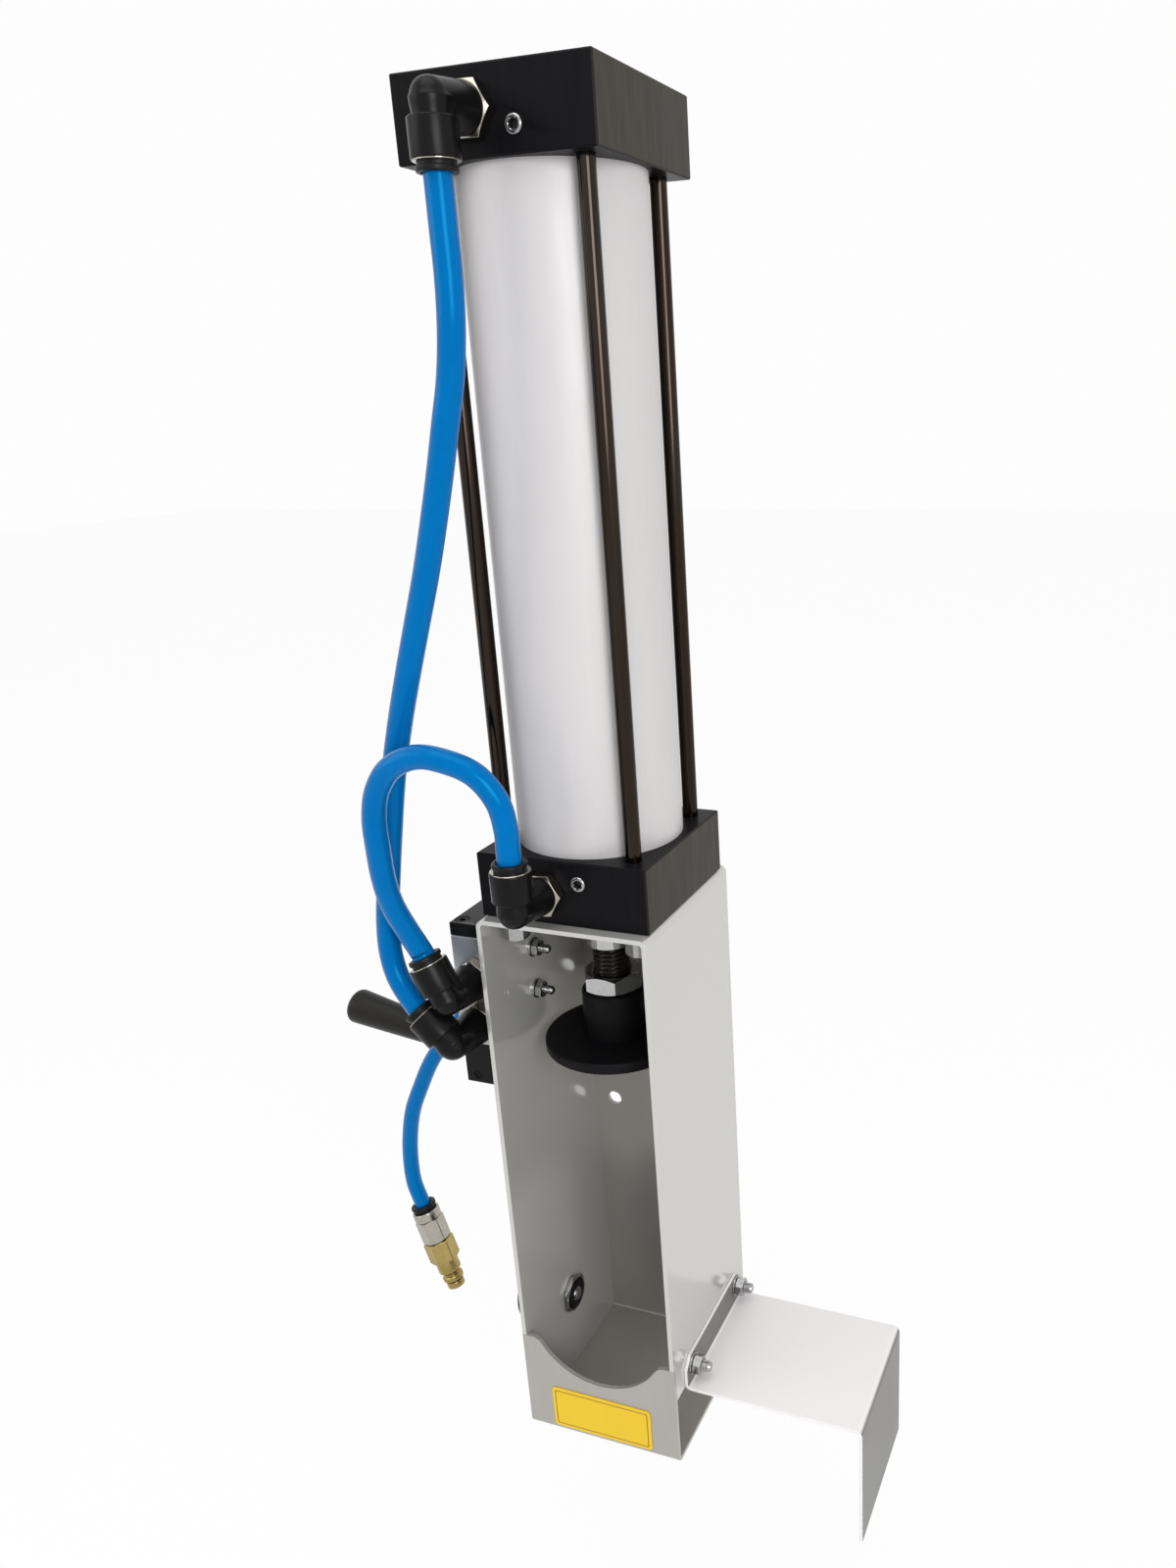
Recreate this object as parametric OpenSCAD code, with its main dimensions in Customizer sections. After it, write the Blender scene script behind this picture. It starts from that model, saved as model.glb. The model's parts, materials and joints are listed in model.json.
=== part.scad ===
// Pneumatic can crusher: an air cylinder on an open sheet-metal chute, worked by a hand-lever valve.
// The cylinder drives a round plate down onto the can, and the flat can leaves by the right side.
// Millimetres. +Z up, +X to the right seen from the front, the front faces -Y.
// The origin is the centre of the four wall-screw holes, on the outer face of the back wall.

/* [Chute] */
// Outer width of the chute
chute_w = 76; // [72:1:90]
// Outer depth of the chute
chute_d = 85; // [82:1:100]
// Height of the chute, from under the floor to the top plate's upper face
chute_h = 260; // [250:1:300]
// Thickness of the folded sheet
sheet = 2; // [1.5:0.25:2.5]
// Outer radius of the chute's folded edges
fold_r = 3.5; // [3:0.5:6]
// Height of the opening under the right wall
exit_h = 34.5; // [28:0.5:40]
// Height of the front lip at its two sides
lip_h = 52; // [46:1:60]
// Depth of the scoop in the lip
scoop_depth = 19; // [12:1:22]
// Radius of the scoop
scoop_r = 33; // [30:1:36]
// Radius where the scoop runs into the top of the lip
scoop_fillet = 6; // [3:0.5:8]
// Width of the yellow plate on the lip
plate_w = 50; // [30:1:56]
// Height of the yellow plate
plate_h = 22; // [14:1:26]
// Thickness of the yellow plate
plate_t = 0.6; // [0.4:0.1:1.5]
// Height of the yellow plate's centre above the chute's foot
plate_z = 15; // [14:0.5:16]

/* [Wall fixing] */
// Diameter of the wall-screw holes
wall_hole_d = 7; // [5:0.5:9]
// Distance between the wall-screw holes across
wall_hole_across = 52; // [40:1:56]
// Distance between the wall-screw holes up the wall
wall_hole_rise = 70; // [50:1:90]
// Height of the lower wall-screw holes above the chute's foot
wall_hole_low = 130; // [110:1:150]

/* [Exit guard] */
// Thickness of the guard's sheet
guard_t = 1.5; // [1:0.25:2]
// Outer radius of the guard's folds
guard_fold_r = 3; // [2.5:0.5:5]
// Reach of the guard from the chute's wall
guard_reach = 83; // [70:1:100]
// Depth of the guard, front to back
guard_depth = 67; // [60:1:70]
// Height of the guard's flange on the wall
guard_flange = 14; // [13:0.5:18]
// Length of the guard's hanging flap
guard_drop = 62.5; // [40:0.5:80]
// Distance between the two guard screws
guard_screw_span = 54; // [44:1:56]
// Diameter of the guard screws
guard_screw_d = 5; // [4:0.5:5]

/* [Cylinder] */
// Side of the square cylinder heads
head_w = 75; // [74:0.5:76]
// Thickness of each head
head_h = 27.5; // [25:0.5:32]
// Inner diameter of the cylinder tube
bore_d = 63; // [61:0.5:63]
// Wall of the cylinder tube
tube_wall = 2.5; // [2:0.25:3]
// Length of tube seen between the heads
tube_len = 246; // [230:1:300]
// Height of the spigot that each head puts into the tube
spigot_h = 14; // [12:0.5:16]
// Diameter of the tie rods
tie_d = 6.5; // [5:0.25:7]
// Distance between tie rods, side by side
tie_span = 56.5; // [56:0.25:58]
// Diameter of the neck that seats in the top plate
neck_d = 40; // [36:1:42]
// Sideways distance of the air port from the cylinder's axis
port_x = 8; // [7:0.5:9]
// Diameter of the threaded air ports
port_d = 13.2; // [12.8:0.1:13.6]
// Diameter of the cushion needle screws
needle_d = 6.4; // [5:0.2:7]

/* [Ram] */
// Travel of the ram
stroke = 175; // [150:1:175]
// Gap between piston and spigot at each end of the travel
piston_gap = 1.5; // [1:0.25:3]
// Diameter of the piston rod
rod_d = 20; // [18:0.5:22]
// Diameter of the threads on the piston rod
rod_thread_d = 16; // [12:0.5:16]
// Length of rod that shows under the neck before its thread, ram up
rod_show = 22; // [14:1:26]
// Length of free thread above the rod nut
thread_show = 12; // [6:0.5:14]
// Width across flats of the rod nut
rod_nut_af = 24; // [22:0.5:26]
// Height of the rod nut
rod_nut_h = 8; // [6:0.5:10]
// Diameter of the hub on the crush plate
hub_d = 28; // [26:0.5:32]
// Height of the hub
hub_h = 22; // [18:0.5:24]
// Diameter of the crush plate
crush_d = 63; // [56:0.5:66]
// Thickness of the crush plate
crush_t = 5; // [4:0.5:8]

/* [Air line] */
// Outer diameter of the two tubes between valve and cylinder
air_d = 9.5; // [8:0.25:10]
// Outer diameter of the supply tube
supply_d = 8; // [6:0.25:8]
// Distance of an elbow's outlet from its port face
elbow_reach = 22; // [21:0.5:24]
// Travel of a release collar when it is pressed
collar_travel = 1.2; // [0.8:0.1:1.4]
// Width across flats of the elbow studs
stud_af = 17; // [16:0.5:18]
// Tilt of the supply plug from the vertical
plug_tilt = 17; // [10:1:25]

/* [Valve] */
// Width of the valve, off the wall
valve_w = 22; // [21:0.5:24]
// Depth of the valve, front to back
valve_d = 35; // [33:0.5:38]
// Height of the valve's metal body
valve_h = 51; // [50:0.5:56]
// Height of the valve's top cap
valve_cap_h = 6; // [4:0.5:9]
// Height of the lever block under the valve
block_h = 22; // [21:0.5:26]
// Distance of the valve's front face behind the chute's front
valve_back = 12.5; // [12:0.5:14]
// Distance of the valve's middle below the chute's top
valve_drop = 40.5; // [37:0.5:44]
// Distance between the two outlet ports of the valve
outlet_span = 20.6; // [20:0.1:21]
// Distance of the outlet ports' middle below the valve's middle
outlet_drop = 3.2; // [2:0.2:4]
// Distance between the two screws that hold the valve
valve_screw_span = 20; // [19:0.5:21]
// Diameter of the screws that hold the valve
valve_screw_d = 4; // [3:0.5:4]
// Distance of these screws behind the valve's middle
valve_screw_back = 7.5; // [7.5:0.25:8.5]
// Distance of these screws' middle above the valve's middle
valve_screw_lift = 2; // [1:0.25:3]
// Diameter of the spool's bore
spool_bore = 9; // [8:0.25:9]

/* [Lever] */
// Length of the lever from its pivot
lever_len = 78; // [70:1:90]
// Rise of the lever above the level, ram up
lever_rise = 10.5; // [8:0.5:12]
// Diameter of the lever's rod
lever_rod_d = 6; // [5:0.25:6.5]
// Length of the grip
grip_len = 48; // [40:1:54]
// Diameter of the grip at its outer end
grip_d = 16; // [14:0.5:18]
// Diameter of the grip at its inner end
grip_small_d = 11.5; // [10:0.5:13]
// Diameter of the pivot pin
lever_pin_d = 4; // [3:0.25:4.5]

/* [Ejector] */
// Height of the ejector above the chute's foot
ejector_z = 42; // [40:1:60]
// Diameter of the ejector's plunger
plunger_d = 7; // [6:0.25:8]
// Travel of the plunger
plunger_travel = 4; // [2:0.25:4]
// Distance of the plunger's tip from the wall's inner face
tip_out = 4; // [3.5:0.1:4.1]
// Diameter of the ejector's knob
knob_d = 34; // [26:1:36]
// Thickness of the knob
knob_t = 7; // [5:0.5:9]

/* [Clearances] */
// Radial clearance of parts that slide in a bore
slide_gap = 0.05; // [0.02:0.01:0.1]
// Radial clearance of fixed parts in their holes
fit_gap = 0.05; // [0.02:0.01:0.1]
// Radial clearance of screws in plain holes
screw_gap = 0.25; // [0.1:0.05:0.5]
// Radial clearance of an air tube in its fitting
tube_gap = 0.15; // [0.1:0.05:0.3]

/* [Hidden] */
$fn = 72;
eps = 1;            // how far a cut runs past the face that it opens

// levels, from the chute's foot up
foot_z = -(wall_hole_low + wall_hole_rise / 2);
front_y = -chute_d;
inner_w = chute_w - 2 * sheet;
left_x = -chute_w / 2;
right_x = chute_w / 2;
top_z = foot_z + chute_h;
tube_z = top_z + head_h;
upper_z = tube_z + tube_len;
cyl_y = -chute_d / 2;
head_front = cyl_y - head_w / 2;
lower_port_z = top_z + head_h / 2;
upper_port_z = upper_z + head_h / 2;
tie_at = tie_span / 2;
corner_ways = [[-1, -1], [1, -1], [-1, 1], [1, 1]];

// heads
bore_r = bore_d / 2;
spigot_r = bore_r - 0.3;
seal_r = bore_r - slide_gap;
seal_w = 3.4;
seal_deep = 2.2;
head_chamfer = 0.6;
tie_nut_d = 12.5;
tie_nut_h = 8;
tie_nut_af = 6;
bush_wall = 4;
bush_h = 10;
wiper_wall = 5;
wiper_h = 5;
wiper_gap = 0.3;
air_chamber_r = rod_d / 2 + 5;
air_way_r = 3;
thread_deep = 10;
needle_drop = 5;
needle_len = 17;
needle_proud = 1;
needle_key = 3;
mount_screw_d = 6;
mount_screw_af = 10;
mount_head_h = 9.5;
mount_screw_in = 12;
mount_washer_r = 5.5;

// ram, at rest with the ram up
piston_h = tube_len - 2 * spigot_h - 2 * piston_gap - stroke;
piston_top = upper_z - spigot_h - piston_gap;
piston_foot = piston_top - piston_h;
piston_r = bore_r - 0.4;
piston_nut_h = 8;
piston_nut_space = 15;
neck_z = top_z - sheet;
flat_h = 10;
flat_af = 17;
thread_z = neck_z - rod_show;
nut_top = thread_z - thread_show;
hub_top = nut_top - rod_nut_h;
hub_foot = hub_top - hub_h;
rod_in_hub = 13;
plate_screw_d = 6;

// elbows: stud hexagon, then the body; sizes follow the tube
stud_hex_h = 5;
stud_thread_r = port_d / 2 - fit_gap;
stud_neck_r = 5;
stud_neck_h = 6;
body_lift = 0.3;
collar_flange = 2;
skirt_len = 5.5;
function barrel_r(d) = d / 2 + 3.3;
function collar_r(d) = d / 2 + 2.4;
function skirt_r(d) = d / 2 + 1.5;
function outlet_len(d) = 2 * d - 1.5;
function collar_gap(d) = collar_travel + 0.3;
function exit_len(d) = outlet_len(d) + collar_gap(d) + collar_flange;
tube_stop = 6.5;

// elbow places and the way each outlet points, in degrees from +X towards +Z
upper_port = [-port_x, head_front, upper_port_z];
lower_port = [-port_x, head_front, lower_port_z];
valve_x = left_x - valve_w / 2;
valve_front = front_y + valve_back;
valve_rear = valve_front + valve_d;
valve_y = (valve_front + valve_rear) / 2;
valve_z = top_z - valve_drop;
valve_foot = valve_z - valve_h / 2;
valve_head = valve_z + valve_h / 2;
valve_port_upper = [valve_x, valve_front, valve_z - outlet_drop + outlet_span / 2];
valve_port_lower = [valve_x, valve_front, valve_z - outlet_drop - outlet_span / 2];
valve_screw_z = valve_z + valve_screw_lift;
supply_port = [valve_x, valve_rear, valve_screw_z];
upper_way = 270;
lower_way = 90;
valve_upper_way = 115;
valve_lower_way = 135;
supply_way = 220;
exhaust_port_at = 17.5;
exhaust_port_d = 9.6;
exhaust_deep = 7;

function way(a) = [cos(a), 0, sin(a)];
function front_corner(p) = p - [0, elbow_reach, 0];
function rear_corner(p) = p + [0, elbow_reach, 0];

// valve inside and lever
spool_x = valve_x + 2;
spool_r = spool_bore / 2 - slide_gap;
spool_neck_r = 2.7;
spool_top = valve_head - 3;
valve_screw_y = valve_y + valve_screw_back;
lever_slot = 9;
lever_hub_w = 8;
lever_hub_r = 4;
pivot_x = valve_x - 5;
pivot_z = valve_foot - 15.4;
finger_reach = spool_x - pivot_x;
finger_h = 2;
tail_slot = 5.2;
tail_r = 2.7;
tail_strap = 1.2;
block_step = 2.5;
lever_swing = 20;

// supply plug, where it hangs on the end of the supply tube
plug_top = [-132.5, -25, top_z - 200];
plug_collar_r = collar_r(supply_d);
fitting_len = 18;
fitting_af = 13;
fitting_r = 7;
brass_af = 14;
brass_hex_h = 12;
plug_shoulder_r = 5.9;
plug_shoulder_h = 7;
plug_neck_r = 4;
plug_ring_r = 5.4;
nipple_h = 4;
plug_bore_r = 2.6;

// ejector, in the left wall
ejector_y = cyl_y;
ejector_h = foot_z + ejector_z;
housing_r = 8;
housing_len = 12;
nose_r = 7;
nose_out = 3;
ejector_nut_af = 17;
ejector_nut_h = 2.5;
plunger_r = plunger_d / 2;
cavity_r = 5.9;
plunger_flange = 1.4;
housing_back = 2;
spring_wire = 0.7;
spring_turns = 4;
spring_r = plunger_r + 0.35 + spring_wire / 2;

// routes of the tubes, chosen by hand, from one fitting to the other; z counts from the chute's top
upper_tube_points = [
  [-8, -102, 251], [-8, -102, 236], [-9, -102, 221], [-12, -101, 206], [-16, -101, 191],
  [-21, -100, 175], [-26, -100, 158], [-32, -99, 141], [-39, -98, 123], [-46, -97, 105],
  [-54, -95, 85], [-61, -94, 63], [-68, -92, 37], [-73, -91, 15], [-76, -91, -2],
  [-76, -92, -16], [-73, -93, -27]
];
lower_tube_points = [
  [-8, -102, 48], [-10, -103, 59], [-17, -105, 69], [-28, -107, 74], [-40, -108, 75],
  [-51, -109, 70], [-58, -109, 61], [-62, -108, 49], [-63, -107, 36], [-64, -105, 23],
  [-64, -102, 11], [-62, -98, -1]
];
supply_tube_points = [
  [-76, -16, -63], [-87, -18, -75], [-98, -20, -88], [-108, -22, -101], [-117, -23, -114],
  [-124, -24, -128], [-130, -25, -142], [-134, -25, -157], [-136, -25, -172], [-136, -25, -187]
];
tube_sides = 10;

// ---- shared shapes ----

module along_y(y0, y1) {
  translate([0, y1, 0]) rotate([90, 0, 0]) linear_extrude(y1 - y0) children();
}

module along_x(x0, x1) {
  translate([x0, 0, 0]) rotate([90, 0, 90]) linear_extrude(x1 - x0) children();
}

// a round bar along X from x0 to x1
module bar_x(x0, x1, r) {
  translate([x0, 0, 0]) rotate([0, 90, 0]) cylinder(h = x1 - x0, r = r);
}

// a round bar along Y from y0 to y1
module bar_y(y0, y1, r) {
  translate([0, y1, 0]) rotate([90, 0, 0]) cylinder(h = y1 - y0, r = r);
}

// a rectangle standing on the line, with its two upper corners rounded
module round_top(w, h, r) {
  translate([-w / 2, 0]) square([w, h - r]);
  translate([-w / 2 + r, h - r - 0.01]) square([w - 2 * r, r + 0.01]);
  for (s = [-1, 1]) translate([s * (w / 2 - r), h - r]) circle(r);
}

// a quarter of a ring, in the quadrant that the two signs name
module quarter_ring(r, t, sx, sy) {
  intersection() {
    difference() {
      circle(r);
      circle(r - t);
    }
    translate([sx > 0 ? 0 : -r, sy > 0 ? 0 : -r]) square(r);
  }
}

module chamfered_square(w, h, c) {
  polygon([
    [-w / 2 + c, -h / 2], [w / 2 - c, -h / 2], [w / 2, -h / 2 + c], [w / 2, h / 2 - c],
    [w / 2 - c, h / 2], [-w / 2 + c, h / 2], [-w / 2, h / 2 - c], [-w / 2, -h / 2 + c]
  ]);
}

// a block standing on z = 0 with all its edges chamfered
module block(w, d, h, c) {
  intersection() {
    linear_extrude(h) chamfered_square(w, d, c);
    translate([0, 0, h / 2]) along_y(-d / 2, d / 2) chamfered_square(w, h, c);
    translate([0, 0, h / 2]) along_x(-w / 2, w / 2) chamfered_square(d, h, c);
  }
}

function across_corners(af) = af / cos(30);

// a hexagon bar with both ends turned off at 30 degrees, standing on z = 0
module hex_bar(af, h, turn = 0) {
  r = across_corners(af) / 2;
  r_end = af / 2 - 0.3;
  r_far = r_end + h / tan(30);
  intersection() {
    rotate([0, 0, turn]) cylinder(h = h, r = r, $fn = 6);
    cylinder(h = h, r1 = r_end, r2 = r_far);
    cylinder(h = h, r1 = r_far, r2 = r_end);
  }
}

module hex_nut(af, h, d, turn = 0) {
  difference() {
    hex_bar(af, h, turn);
    translate([0, 0, -eps]) cylinder(h = h + 2 * eps, r = d / 2 + fit_gap);
  }
}

module ring(ro, ri, h) {
  difference() {
    cylinder(h = h, r = ro);
    translate([0, 0, -eps]) cylinder(h = h + 2 * eps, r = ri);
  }
}

module at_corners(z) {
  for (c = corner_ways) translate([c[0] * tie_at, cyl_y + c[1] * tie_at, z]) children();
}

// ---- chute ----

module side_profile() {
  difference() {
    round_top(chute_w, chute_h, fold_r);
    translate([0, -eps]) round_top(inner_w, chute_h - sheet + eps, fold_r - sheet);
    translate([inner_w / 2 - eps, -eps]) square([sheet + 2 * eps, exit_h + eps]);
  }
}

module side_shell() {
  guard_hole_z = foot_z + exit_h + guard_screw_z;
  color("gainsboro") difference() {
    translate([0, 0, foot_z]) along_y(front_y, 0) side_profile();
    // the lip covers the foot of the front edges
    translate([-chute_w, front_y - eps, foot_z - eps]) cube([2 * chute_w, sheet + eps, lip_h + eps]);
    // neck and mounting screws of the cylinder
    translate([0, cyl_y, neck_z - eps]) cylinder(h = sheet + 2 * eps, r = neck_d / 2 + screw_gap);
    at_corners(neck_z - eps) cylinder(h = sheet + 2 * eps, r = mount_screw_d / 2 + screw_gap);
    // valve screws and the spare hole before them
    at_valve_screws(0) bar_x(left_x - eps, left_x + sheet + eps, valve_screw_d / 2 + screw_gap);
    translate([0, front_y + spare_hole_y, valve_z + 1])
      bar_x(left_x - eps, left_x + sheet + eps, spare_hole_r);
    // ejector
    translate([0, ejector_y, ejector_h]) bar_x(left_x - eps, left_x + sheet + eps, nose_r + screw_gap);
    // guard screws
    for (s = [-1, 1]) translate([0, cyl_y + guard_shift + s * guard_screw_span / 2, guard_hole_z])
      bar_x(right_x - sheet - eps, right_x + eps, guard_screw_d / 2 + screw_gap);
  }
}
guard_screw_z = guard_flange - 5.5;
guard_shift = 1.5;
spare_hole_y = 13.6;
spare_hole_r = 1.5;

// back, floor and lip seen from the left: one sheet folded twice
module tray_profile() {
  tray_h = chute_h - fold_r;
  difference() {
    translate([-chute_d / 2, tray_h]) mirror([0, 1]) round_top(chute_d, tray_h, fold_r);
    translate([-chute_d / 2, tray_h + eps]) mirror([0, 1])
      round_top(chute_d - 2 * sheet, tray_h + eps - sheet, fold_r - sheet);
    translate([-chute_d - eps, lip_h]) square([sheet + 2 * eps, chute_h]);
  }
}

// the scoop: an arc that runs into the lip's top through a fillet on each side
module scoop() {
  arc_z = lip_h - scoop_depth + scoop_r;
  fillet_z = lip_h - scoop_fillet;
  reach = scoop_r + scoop_fillet;
  fillet_x = sqrt(reach * reach - (arc_z - fillet_z) * (arc_z - fillet_z));
  touch = scoop_r / reach;
  touch_z = arc_z + (fillet_z - arc_z) * touch;
  difference() {
    union() {
      translate([0, arc_z]) circle(scoop_r, $fn = 144);
      polygon([
        [-fillet_x * touch, touch_z], [fillet_x * touch, touch_z],
        [fillet_x, lip_h + eps], [-fillet_x, lip_h + eps]
      ]);
    }
    for (s = [-1, 1]) translate([s * fillet_x, fillet_z]) circle(scoop_fillet);
  }
}

module back_tray() {
  color("gainsboro") difference() {
    translate([0, 0, foot_z]) union() {
      along_x(-inner_w / 2, inner_w / 2) tray_profile();
      // the lip runs across both walls, and the floor to the right wall's face
      along_x(left_x, right_x) intersection() {
        tray_profile();
        translate([-chute_d, 0]) square([sheet, lip_h]);
      }
      along_x(0, right_x) intersection() {
        tray_profile();
        translate([-chute_d, 0]) square([chute_d, lip_h / 2]);
        square([4 * chute_d, 2 * fold_r], center = true);
      }
    }
    translate([0, 0, foot_z]) along_y(front_y - eps, front_y + sheet + eps) scoop();
    for (x = [-1, 1], z = [-1, 1])
      translate([x * wall_hole_across / 2, 0, z * wall_hole_rise / 2])
        bar_y(-sheet - eps, eps, wall_hole_d / 2);
  }
}

module lip_plate() {
  r = 2;
  color("gold") translate([0, 0, foot_z + plate_z]) along_y(front_y - plate_t, front_y) union() {
    square([plate_w, plate_h - 2 * r], center = true);
    square([plate_w - 2 * r, plate_h], center = true);
    for (x = [-1, 1], y = [-1, 1])
      translate([x * (plate_w / 2 - r), y * (plate_h / 2 - r)]) circle(r);
  }
}

// flange up the wall, shelf outwards, flap down
module guard_profile() {
  x0 = right_x;
  x1 = right_x + guard_reach;
  r = guard_fold_r;
  zs = exit_h - guard_t;
  translate([x0, zs + r]) square([guard_t, guard_flange + guard_t - r]);
  translate([x0 + r, zs]) square([x1 - x0 - 2 * r, guard_t]);
  translate([x1 - guard_t, exit_h - guard_drop]) square([guard_t, guard_drop - r]);
  translate([x0 + r, zs + r]) quarter_ring(r, guard_t, -1, -1);
  translate([x1 - r, exit_h - r]) quarter_ring(r, guard_t, 1, 1);
}

module exit_guard() {
  y0 = cyl_y + guard_shift - guard_depth / 2;
  y1 = y0 + guard_depth;
  flange_top = foot_z + exit_h + guard_flange;
  clip = 5;
  color("whitesmoke") difference() {
    translate([0, 0, foot_z]) along_y(y0, y1) guard_profile();
    along_x(right_x - eps, right_x + guard_t + eps) union() {
      // a triangle off each upper corner of the flange
      for (s = [-1, 1]) translate([(y0 + y1) / 2 + s * guard_depth / 2, flange_top])
        polygon([[s * eps, -clip - eps], [-s * (clip + eps), eps], [s * eps, eps]]);
    }
    at_guard_screws() bar_x(-eps, guard_t + eps, guard_screw_d / 2 + screw_gap);
  }
}

// places its children on the wall's outer face, at both guard screws
module at_guard_screws() {
  for (s = [-1, 1])
    translate([right_x, cyl_y + guard_shift + s * guard_screw_span / 2, foot_z + exit_h + guard_screw_z])
      children();
}
washer_t = 1;
guard_nut_h = 4;
guard_nut_af = 8;
guard_head_h = 2.6;
guard_thread_out = 4;

module guard_screws() {
  end = guard_t + washer_t + guard_nut_h + guard_thread_out;
  color("silver") at_guard_screws() {
    bar_x(-sheet - eps, end, guard_screw_d / 2);
    difference() {
      bar_x(-sheet - guard_head_h, -sheet, guard_screw_d * 0.95);
      translate([-sheet - guard_head_h - eps, 0, 0]) rotate([0, 90, 0])
        cylinder(h = 1.4 + eps, r = 1.6, $fn = 6);
    }
  }
}

module guard_nuts() {
  color("silver") at_guard_screws() translate([guard_t + washer_t, 0, 0])
    rotate([0, 90, 0]) hex_nut(guard_nut_af, guard_nut_h, guard_screw_d);
}

// plain washers of the guard, the cylinder and the valve
module washers() {
  color("silver") {
    at_guard_screws() translate([guard_t, 0, 0]) rotate([0, 90, 0])
      ring(guard_screw_d, guard_screw_d / 2 + screw_gap, washer_t);
    at_corners(neck_z - washer_t) ring(mount_washer_r, mount_screw_d / 2 + screw_gap, washer_t);
    at_valve_screws(left_x + sheet) rotate([0, 90, 0])
      ring(valve_screw_d * 1.1, valve_screw_d / 2 + screw_gap, washer_t);
  }
}

// ---- cylinder ----

module seal_groove(z) {
  translate([0, cyl_y, z]) difference() {
    cylinder(h = seal_w, r = bore_r + eps);
    translate([0, 0, -eps]) cylinder(h = seal_w + 2 * eps, r = seal_r - seal_deep - fit_gap);
  }
}

module seal_ring(z) {
  translate([0, cyl_y, z + 0.1]) ring(seal_r, seal_r - seal_deep, seal_w - 0.2);
}

// port, needle bore and their ways to the air chamber; s is the side of the port the needle lies on
module head_ports(z, needle_z) {
  translate([-port_x, 0, z]) {
    bar_y(head_front - eps, head_front + thread_deep, port_d / 2);
    bar_y(head_front, cyl_y, air_way_r);
  }
  translate([port_x, 0, needle_z]) {
    bar_y(head_front - eps, head_front + needle_len, needle_d / 2 + slide_gap);
    bar_y(head_front, cyl_y, air_way_r / 2);
  }
}
spigot_groove = (spigot_h - seal_w) / 2;

module lower_head() {
  color("#17171b") difference() {
    union() {
      translate([0, cyl_y, top_z]) block(head_w, head_w, head_h, head_chamfer);
      translate([0, cyl_y, neck_z]) cylinder(h = sheet + eps, r = neck_d / 2);
      translate([0, cyl_y, tube_z - eps]) cylinder(h = spigot_h + eps, r = spigot_r);
    }
    seal_groove(tube_z + spigot_groove);
    // wiper, bush and air chamber, one over the other round the rod
    translate([0, cyl_y, neck_z - eps]) cylinder(h = wiper_h + eps, r = rod_d / 2 + wiper_wall + fit_gap);
    translate([0, cyl_y, neck_z]) cylinder(h = wiper_h + bush_h, r = rod_d / 2 + bush_wall + fit_gap);
    translate([0, cyl_y, neck_z + wiper_h + bush_h]) cylinder(h = chute_h, r = air_chamber_r);
    at_corners(top_z - eps) cylinder(h = head_h + 2 * eps, r = tie_d / 2 + screw_gap);
    head_ports(lower_port_z, lower_port_z + needle_drop);
  }
}

module upper_head() {
  color("#17171b") difference() {
    union() {
      translate([0, cyl_y, upper_z]) block(head_w, head_w, head_h, head_chamfer);
      translate([0, cyl_y, upper_z - spigot_h]) cylinder(h = spigot_h + eps, r = spigot_r);
    }
    seal_groove(upper_z - spigot_h + spigot_groove);
    translate([0, cyl_y, upper_z - spigot_h - eps])
      cylinder(h = spigot_h + head_h * 0.7 + eps, r = air_chamber_r);
    at_corners(upper_z - eps) cylinder(h = head_h + 2 * eps, r = tie_d / 2 + screw_gap);
    at_corners(upper_z + head_h - tie_nut_h) cylinder(h = tie_nut_h + eps, r = tie_nut_d / 2 + fit_gap);
    head_ports(upper_port_z, upper_port_z - needle_drop);
  }
}

module cylinder_tube() {
  color("#dcdde2") translate([0, cyl_y, tube_z]) ring(bore_r + tube_wall, bore_r, tube_len);
}

module tube_seals() {
  color("#202020") {
    seal_ring(tube_z + spigot_groove);
    seal_ring(upper_z - spigot_h + spigot_groove);
  }
}

// from inside the lower head to the nuts sunk in the upper head
module tie_rods() {
  rod_foot = top_z + mount_screw_in + 1;
  color("#3a3a40") at_corners(rod_foot) cylinder(h = upper_z + head_h - 2 - rod_foot, r = tie_d / 2);
}

module tie_rod_nuts() {
  color("silver") at_corners(upper_z + head_h - tie_nut_h) difference() {
    cylinder(h = tie_nut_h - 0.5, r = tie_nut_d / 2);
    translate([0, 0, -eps]) cylinder(h = tie_nut_h - 2 + eps, r = tie_d / 2 + fit_gap);
    translate([0, 0, -eps]) cylinder(h = tie_nut_h + 2 * eps, r = tie_nut_af / 2, $fn = 6);
  }
}

module mounting_screws() {
  head_z = neck_z - washer_t - mount_head_h;
  color("silver") at_corners(head_z) {
    hex_bar(mount_screw_af, mount_head_h, 30);
    cylinder(h = mount_head_h + washer_t + sheet + mount_screw_in, r = mount_screw_d / 2);
  }
}

module rod_bush() {
  color("#b08d57") translate([0, cyl_y, neck_z + wiper_h])
    ring(rod_d / 2 + bush_wall, rod_d / 2 + slide_gap, bush_h);
}

module rod_wiper() {
  color("#202020") translate([0, cyl_y, neck_z])
    ring(rod_d / 2 + wiper_wall, rod_d / 2 + wiper_gap, wiper_h);
}

// the needle: a round screw with a hexagon socket and a pointed end
module needle(z) {
  r = needle_d / 2;
  translate([port_x, head_front, z]) difference() {
    union() {
      bar_y(-needle_proud, needle_len - 5, r);
      translate([0, needle_len - 5, 0]) rotate([-90, 0, 0]) cylinder(h = 4, r1 = r, r2 = air_way_r / 2);
    }
    translate([0, -needle_proud + 3, 0]) rotate([90, 0, 0])
      cylinder(h = 3 + eps, r = across_corners(needle_key) / 2, $fn = 6);
  }
}

module needle_screw_upper() { color("silver") needle(upper_port_z - needle_drop); }

module needle_screw_lower() { color("silver") needle(lower_port_z + needle_drop); }

// ---- ram ----

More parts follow.
